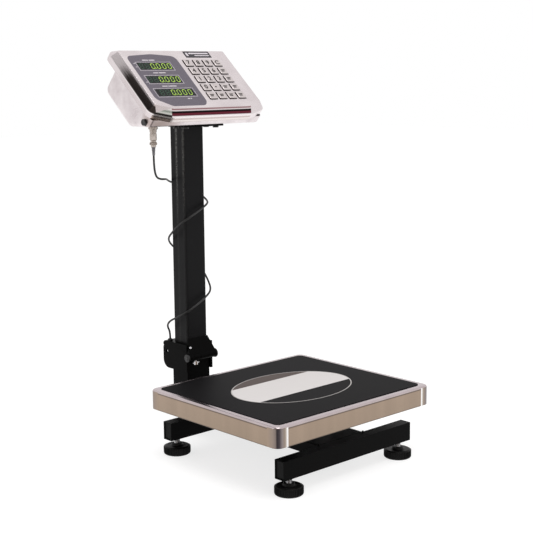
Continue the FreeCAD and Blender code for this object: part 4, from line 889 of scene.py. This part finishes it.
# each segment's middle and whether it stands upright, in half widths and half heights
SEGMENTS = {"a": (0, 1, False), "b": (1, 0.5, True), "c": (1, -0.5, True), "d": (0, -1, False),
            "e": (-1, -0.5, True), "f": (-1, 0.5, True), "g": (0, 0, False)}
lit_finish, tree, shader = material("lit green LED segment", "9cbf48", 0.4)
shader.inputs["Emission Color"].default_value = linear("a6cd50")
shader.inputs["Emission Strength"].default_value = 0.6
grain(tree, shader, 0.004, 0.0, uneven=0.05)
unlit_finish, tree, shader = material("unlit green LED segment", "0b3b25", 0.3, 0.004, 0.0, uneven=0.05,
    tones=("0a3521", "0f472d"))
places_lit, places_unlit, dots = [], [], []
for left, width, centre, last in WINDOWS:
    for index in range(PLACES):
        across = last - DIGIT_PITCH * (PLACES - 1 - index)
        lit = index >= PLACES - LIT_PLACES
        for letter, (side, height, stands) in SEGMENTS.items():
            y = height * DIGIT_HEIGHT / 2
            x = across + side * DIGIT_WIDTH / 2 + y * DIGIT_SLANT
            entry = (x, centre + y, (math.pi / 2 - DIGIT_SLANT) if stands else 0.0)
            (places_lit if lit and letter != "g" else places_unlit).append(entry)
        if index == PLACES - LIT_PLACES:
            dots.append((across + DIGIT_WIDTH / 2 + 0.0022 - DIGIT_HEIGHT / 2 * DIGIT_SLANT,
                         centre - DIGIT_HEIGHT / 2, 0.0))
SEGMENT_TOP = FILM_TOP + 0.00016
SEGMENT_THICK = 0.00008
for name, entries, length, width, finish in (
        ("digits_lit", places_lit, 0.0060, 0.0013, lit_finish),
        ("digits_unlit", places_unlit, 0.0058, 0.0016, unlit_finish),
        ("digit_points", dots, 0.0016, 0.0016, lit_finish)):
    points = bpy.data.meshes.new(name)
    points.from_pydata([(x, y, 0) for x, y, turn in entries], [], [])
    angles = points.attributes.new("angle", "FLOAT", "POINT")
    angles.data.foreach_set("value", [turn for x, y, turn in entries])
    sizes = {"Length": length, "Width": width, "Thickness": SEGMENT_THICK}
    digits = made_by(segments, name, sizes, finish, None, points)
    digits.data.transform(HEAD @ Matrix.Translation((0, 0, SEGMENT_TOP)))
    settle(digits, "mast", "overlay_film")

# a blank metal label above the keys, dark, with three plain bars
badge_finish, tree, shader = material("etched anodised aluminium label", "3c3a3e", 0.35, 0.0008, 0.00001,
    metallic=0.6, stretch=(8, 1, 1), uneven=0.06, tones=("353338", "444247"))
BADGE = (0.021, 0.079, 0.0535, 0.0695)
settle(slabs("maker_plate", [BADGE], FACE_LEVEL, FACE_LEVEL + 0.0005, badge_finish, 0.001), "mast",
       "overlay_film")
settle(slabs("maker_plate_bars", [(0.0245, 0.0290, 0.0575, 0.0660), (0.0315, 0.0755, 0.0625, 0.0660),
                                  (0.0420, 0.0755, 0.0575, 0.0597)],
             FACE_LEVEL + 0.0005, FACE_LEVEL + 0.00058, print_finish, 0.0008), "mast", "overlay_film")

# -------- keys
# Twenty square caps of satin metal with a soft edge, each on its own switch, standing in
# close-fitting holes. Their legends are printed: figures, a point, C, and plain function marks.
key_finish, tree, shader = material("satin nickel plated key cap", "d6cecd", 0.3, 0.0006, 0.00001,
    metallic=1.0, stretch=(12, 1, 1), uneven=0.06)
# painted shade: the caps' sides are painted dark, so that each key stands out of the face
KEY_TOP = FACE_LEVEL + KEY_PROUD
axes = coordinates(tree, HEAD_AXES)[1]
painted_fade = add(tree, "ShaderNodeMapRange",
              {"From Min": KEY_TOP - 0.0008, "From Max": KEY_TOP - 0.0002, "Value": axes["Z"]})
# dark painted shade on the sides, the cap's own colour on its top
tree.links.new(masked(tree, linear("3a2f2e"), linear("d6cecd"), painted_fade), shader.inputs["Base Color"])
ink_finish, tree, shader = material("dark grey printed ink", "2f2a29", 0.55, 0.0005, 0.0, uneven=0.05,
    tones=("2a2524", "3a3432"))
LEGENDS = [["7", "8", "9", "C"], ["4", "5", "6", "="], ["1", "2", "3", "="], ["0", ".", "=", "="],
           ["=", "=", "=", "="]]
LEGEND_HEIGHT = 0.0098


def legend_mesh(sign, x, y, height):
    """One printed sign, centred at that place of the head's plane."""
    shape = bmesh.new()
    if sign in "=.":
        bars = [(-0.0042, 0.0042, 0.0006, 0.0026), (-0.0042, 0.0024, -0.0028, -0.0008)] if sign == "=" else [
            (-0.0013, 0.0013, -0.0013, 0.0013)]
        for left, right, low, high in bars:
            corners = head_points(rectangle(x + left, x + right, y + low, y + high), height)
            shape.faces.new([shape.verts.new(point) for point in corners])
        mesh = bpy.data.meshes.new("legend")
        shape.to_mesh(mesh)
        return mesh
    words = bpy.data.curves.new("legend", "FONT")
    words.body = sign
    words.size = LEGEND_HEIGHT * 1.38
    words.align_x = "CENTER"
    words.align_y = "CENTER"
    words.resolution_u = 3
    words.offset = 0.00025
    holder = bpy.data.objects.new("legend_maker", words)
    scene.collection.objects.link(holder)
    depsgraph = bpy.context.evaluated_depsgraph_get()
    mesh = bpy.data.meshes.new_from_object(holder.evaluated_get(depsgraph))
    bpy.data.objects.remove(holder)
    mesh.transform(HEAD @ Matrix.Translation((x, y, height)))
    mesh.materials.clear()
    return mesh


INK_THICK = 0.00008
# a cap's outline from its foot to its dished top: how far inside the edge, how far below the top
CAP_RINGS = ((0, KEY_DEPTH), (0, 0.0010), (0.0003, 0.0004), (0.0010, 0.00005), (0.0016, 0), (0.0040, 0.00012),
             (0.0070, 0.0002))
for row, signs in enumerate(LEGENDS):
    for column, sign in enumerate(signs):
        number = "_%d_%d" % (row + 1, column + 1)
        x, y = KEY_FIRST[0] + KEY_PITCH[0] * column, KEY_FIRST[1] - KEY_PITCH[1] * row
        corners = rectangle(x - KEY_SIZE / 2, x + KEY_SIZE / 2, y - KEY_SIZE / 2, y + KEY_SIZE / 2)
        rings = [head_points(arc_outline(corners, [max(0.0022 - inset, 0.0004)] * 4, 4, inset),
                             KEY_TOP - below)
                 for inset, below in CAP_RINGS]
        settle(stacked("cap" + number, [rings], key_finish, 50), "key" + number, "key_metal", "key" + number)
        legend = link_mesh("legend" + number, legend_mesh(sign, x, y, KEY_TOP + INK_THICK), ink_finish)
        legend.modifiers.new("ink", "SOLIDIFY").thickness = INK_THICK
        settle(legend, "key" + number, "key_metal")

# -------- power button
# A round push button of black ABS in the head's left wall, with a dished end and a thin
# flange of the same plastic round it.
button_low, button_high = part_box("power_button")
button_finish, tree, shader = material("moulded black ABS button", "1b1a1b", 0.35, 0.0006, 0.00002,
    uneven=0.08)
BUTTON_RADIUS = 0.0054
FLANGE_RADIUS = (button_high[2] - button_low[2]) / 2
button = turned("power_push_button", [
    (0, 0.0006), (0.0030, 0.0004), (0.0042, 0), (BUTTON_RADIUS - 0.0004, 0.0001), (BUTTON_RADIUS, 0.0006),
    (BUTTON_RADIUS, 0.0050), (FLANGE_RADIUS, 0.0051), (FLANGE_RADIUS, 0.0070), (BUTTON_RADIUS, 0.0070),
    (BUTTON_RADIUS, button_high[0] - button_low[0])], (0, 0, 0), button_finish, steps=40)
button_at = Matrix.Translation((button_low[0], *middle("power_button")[1:]))
button.data.transform(button_at @ Matrix.Rotation(math.pi / 2, 4, "Y"))
settle(button, "power", "black_plastic", "power_button")
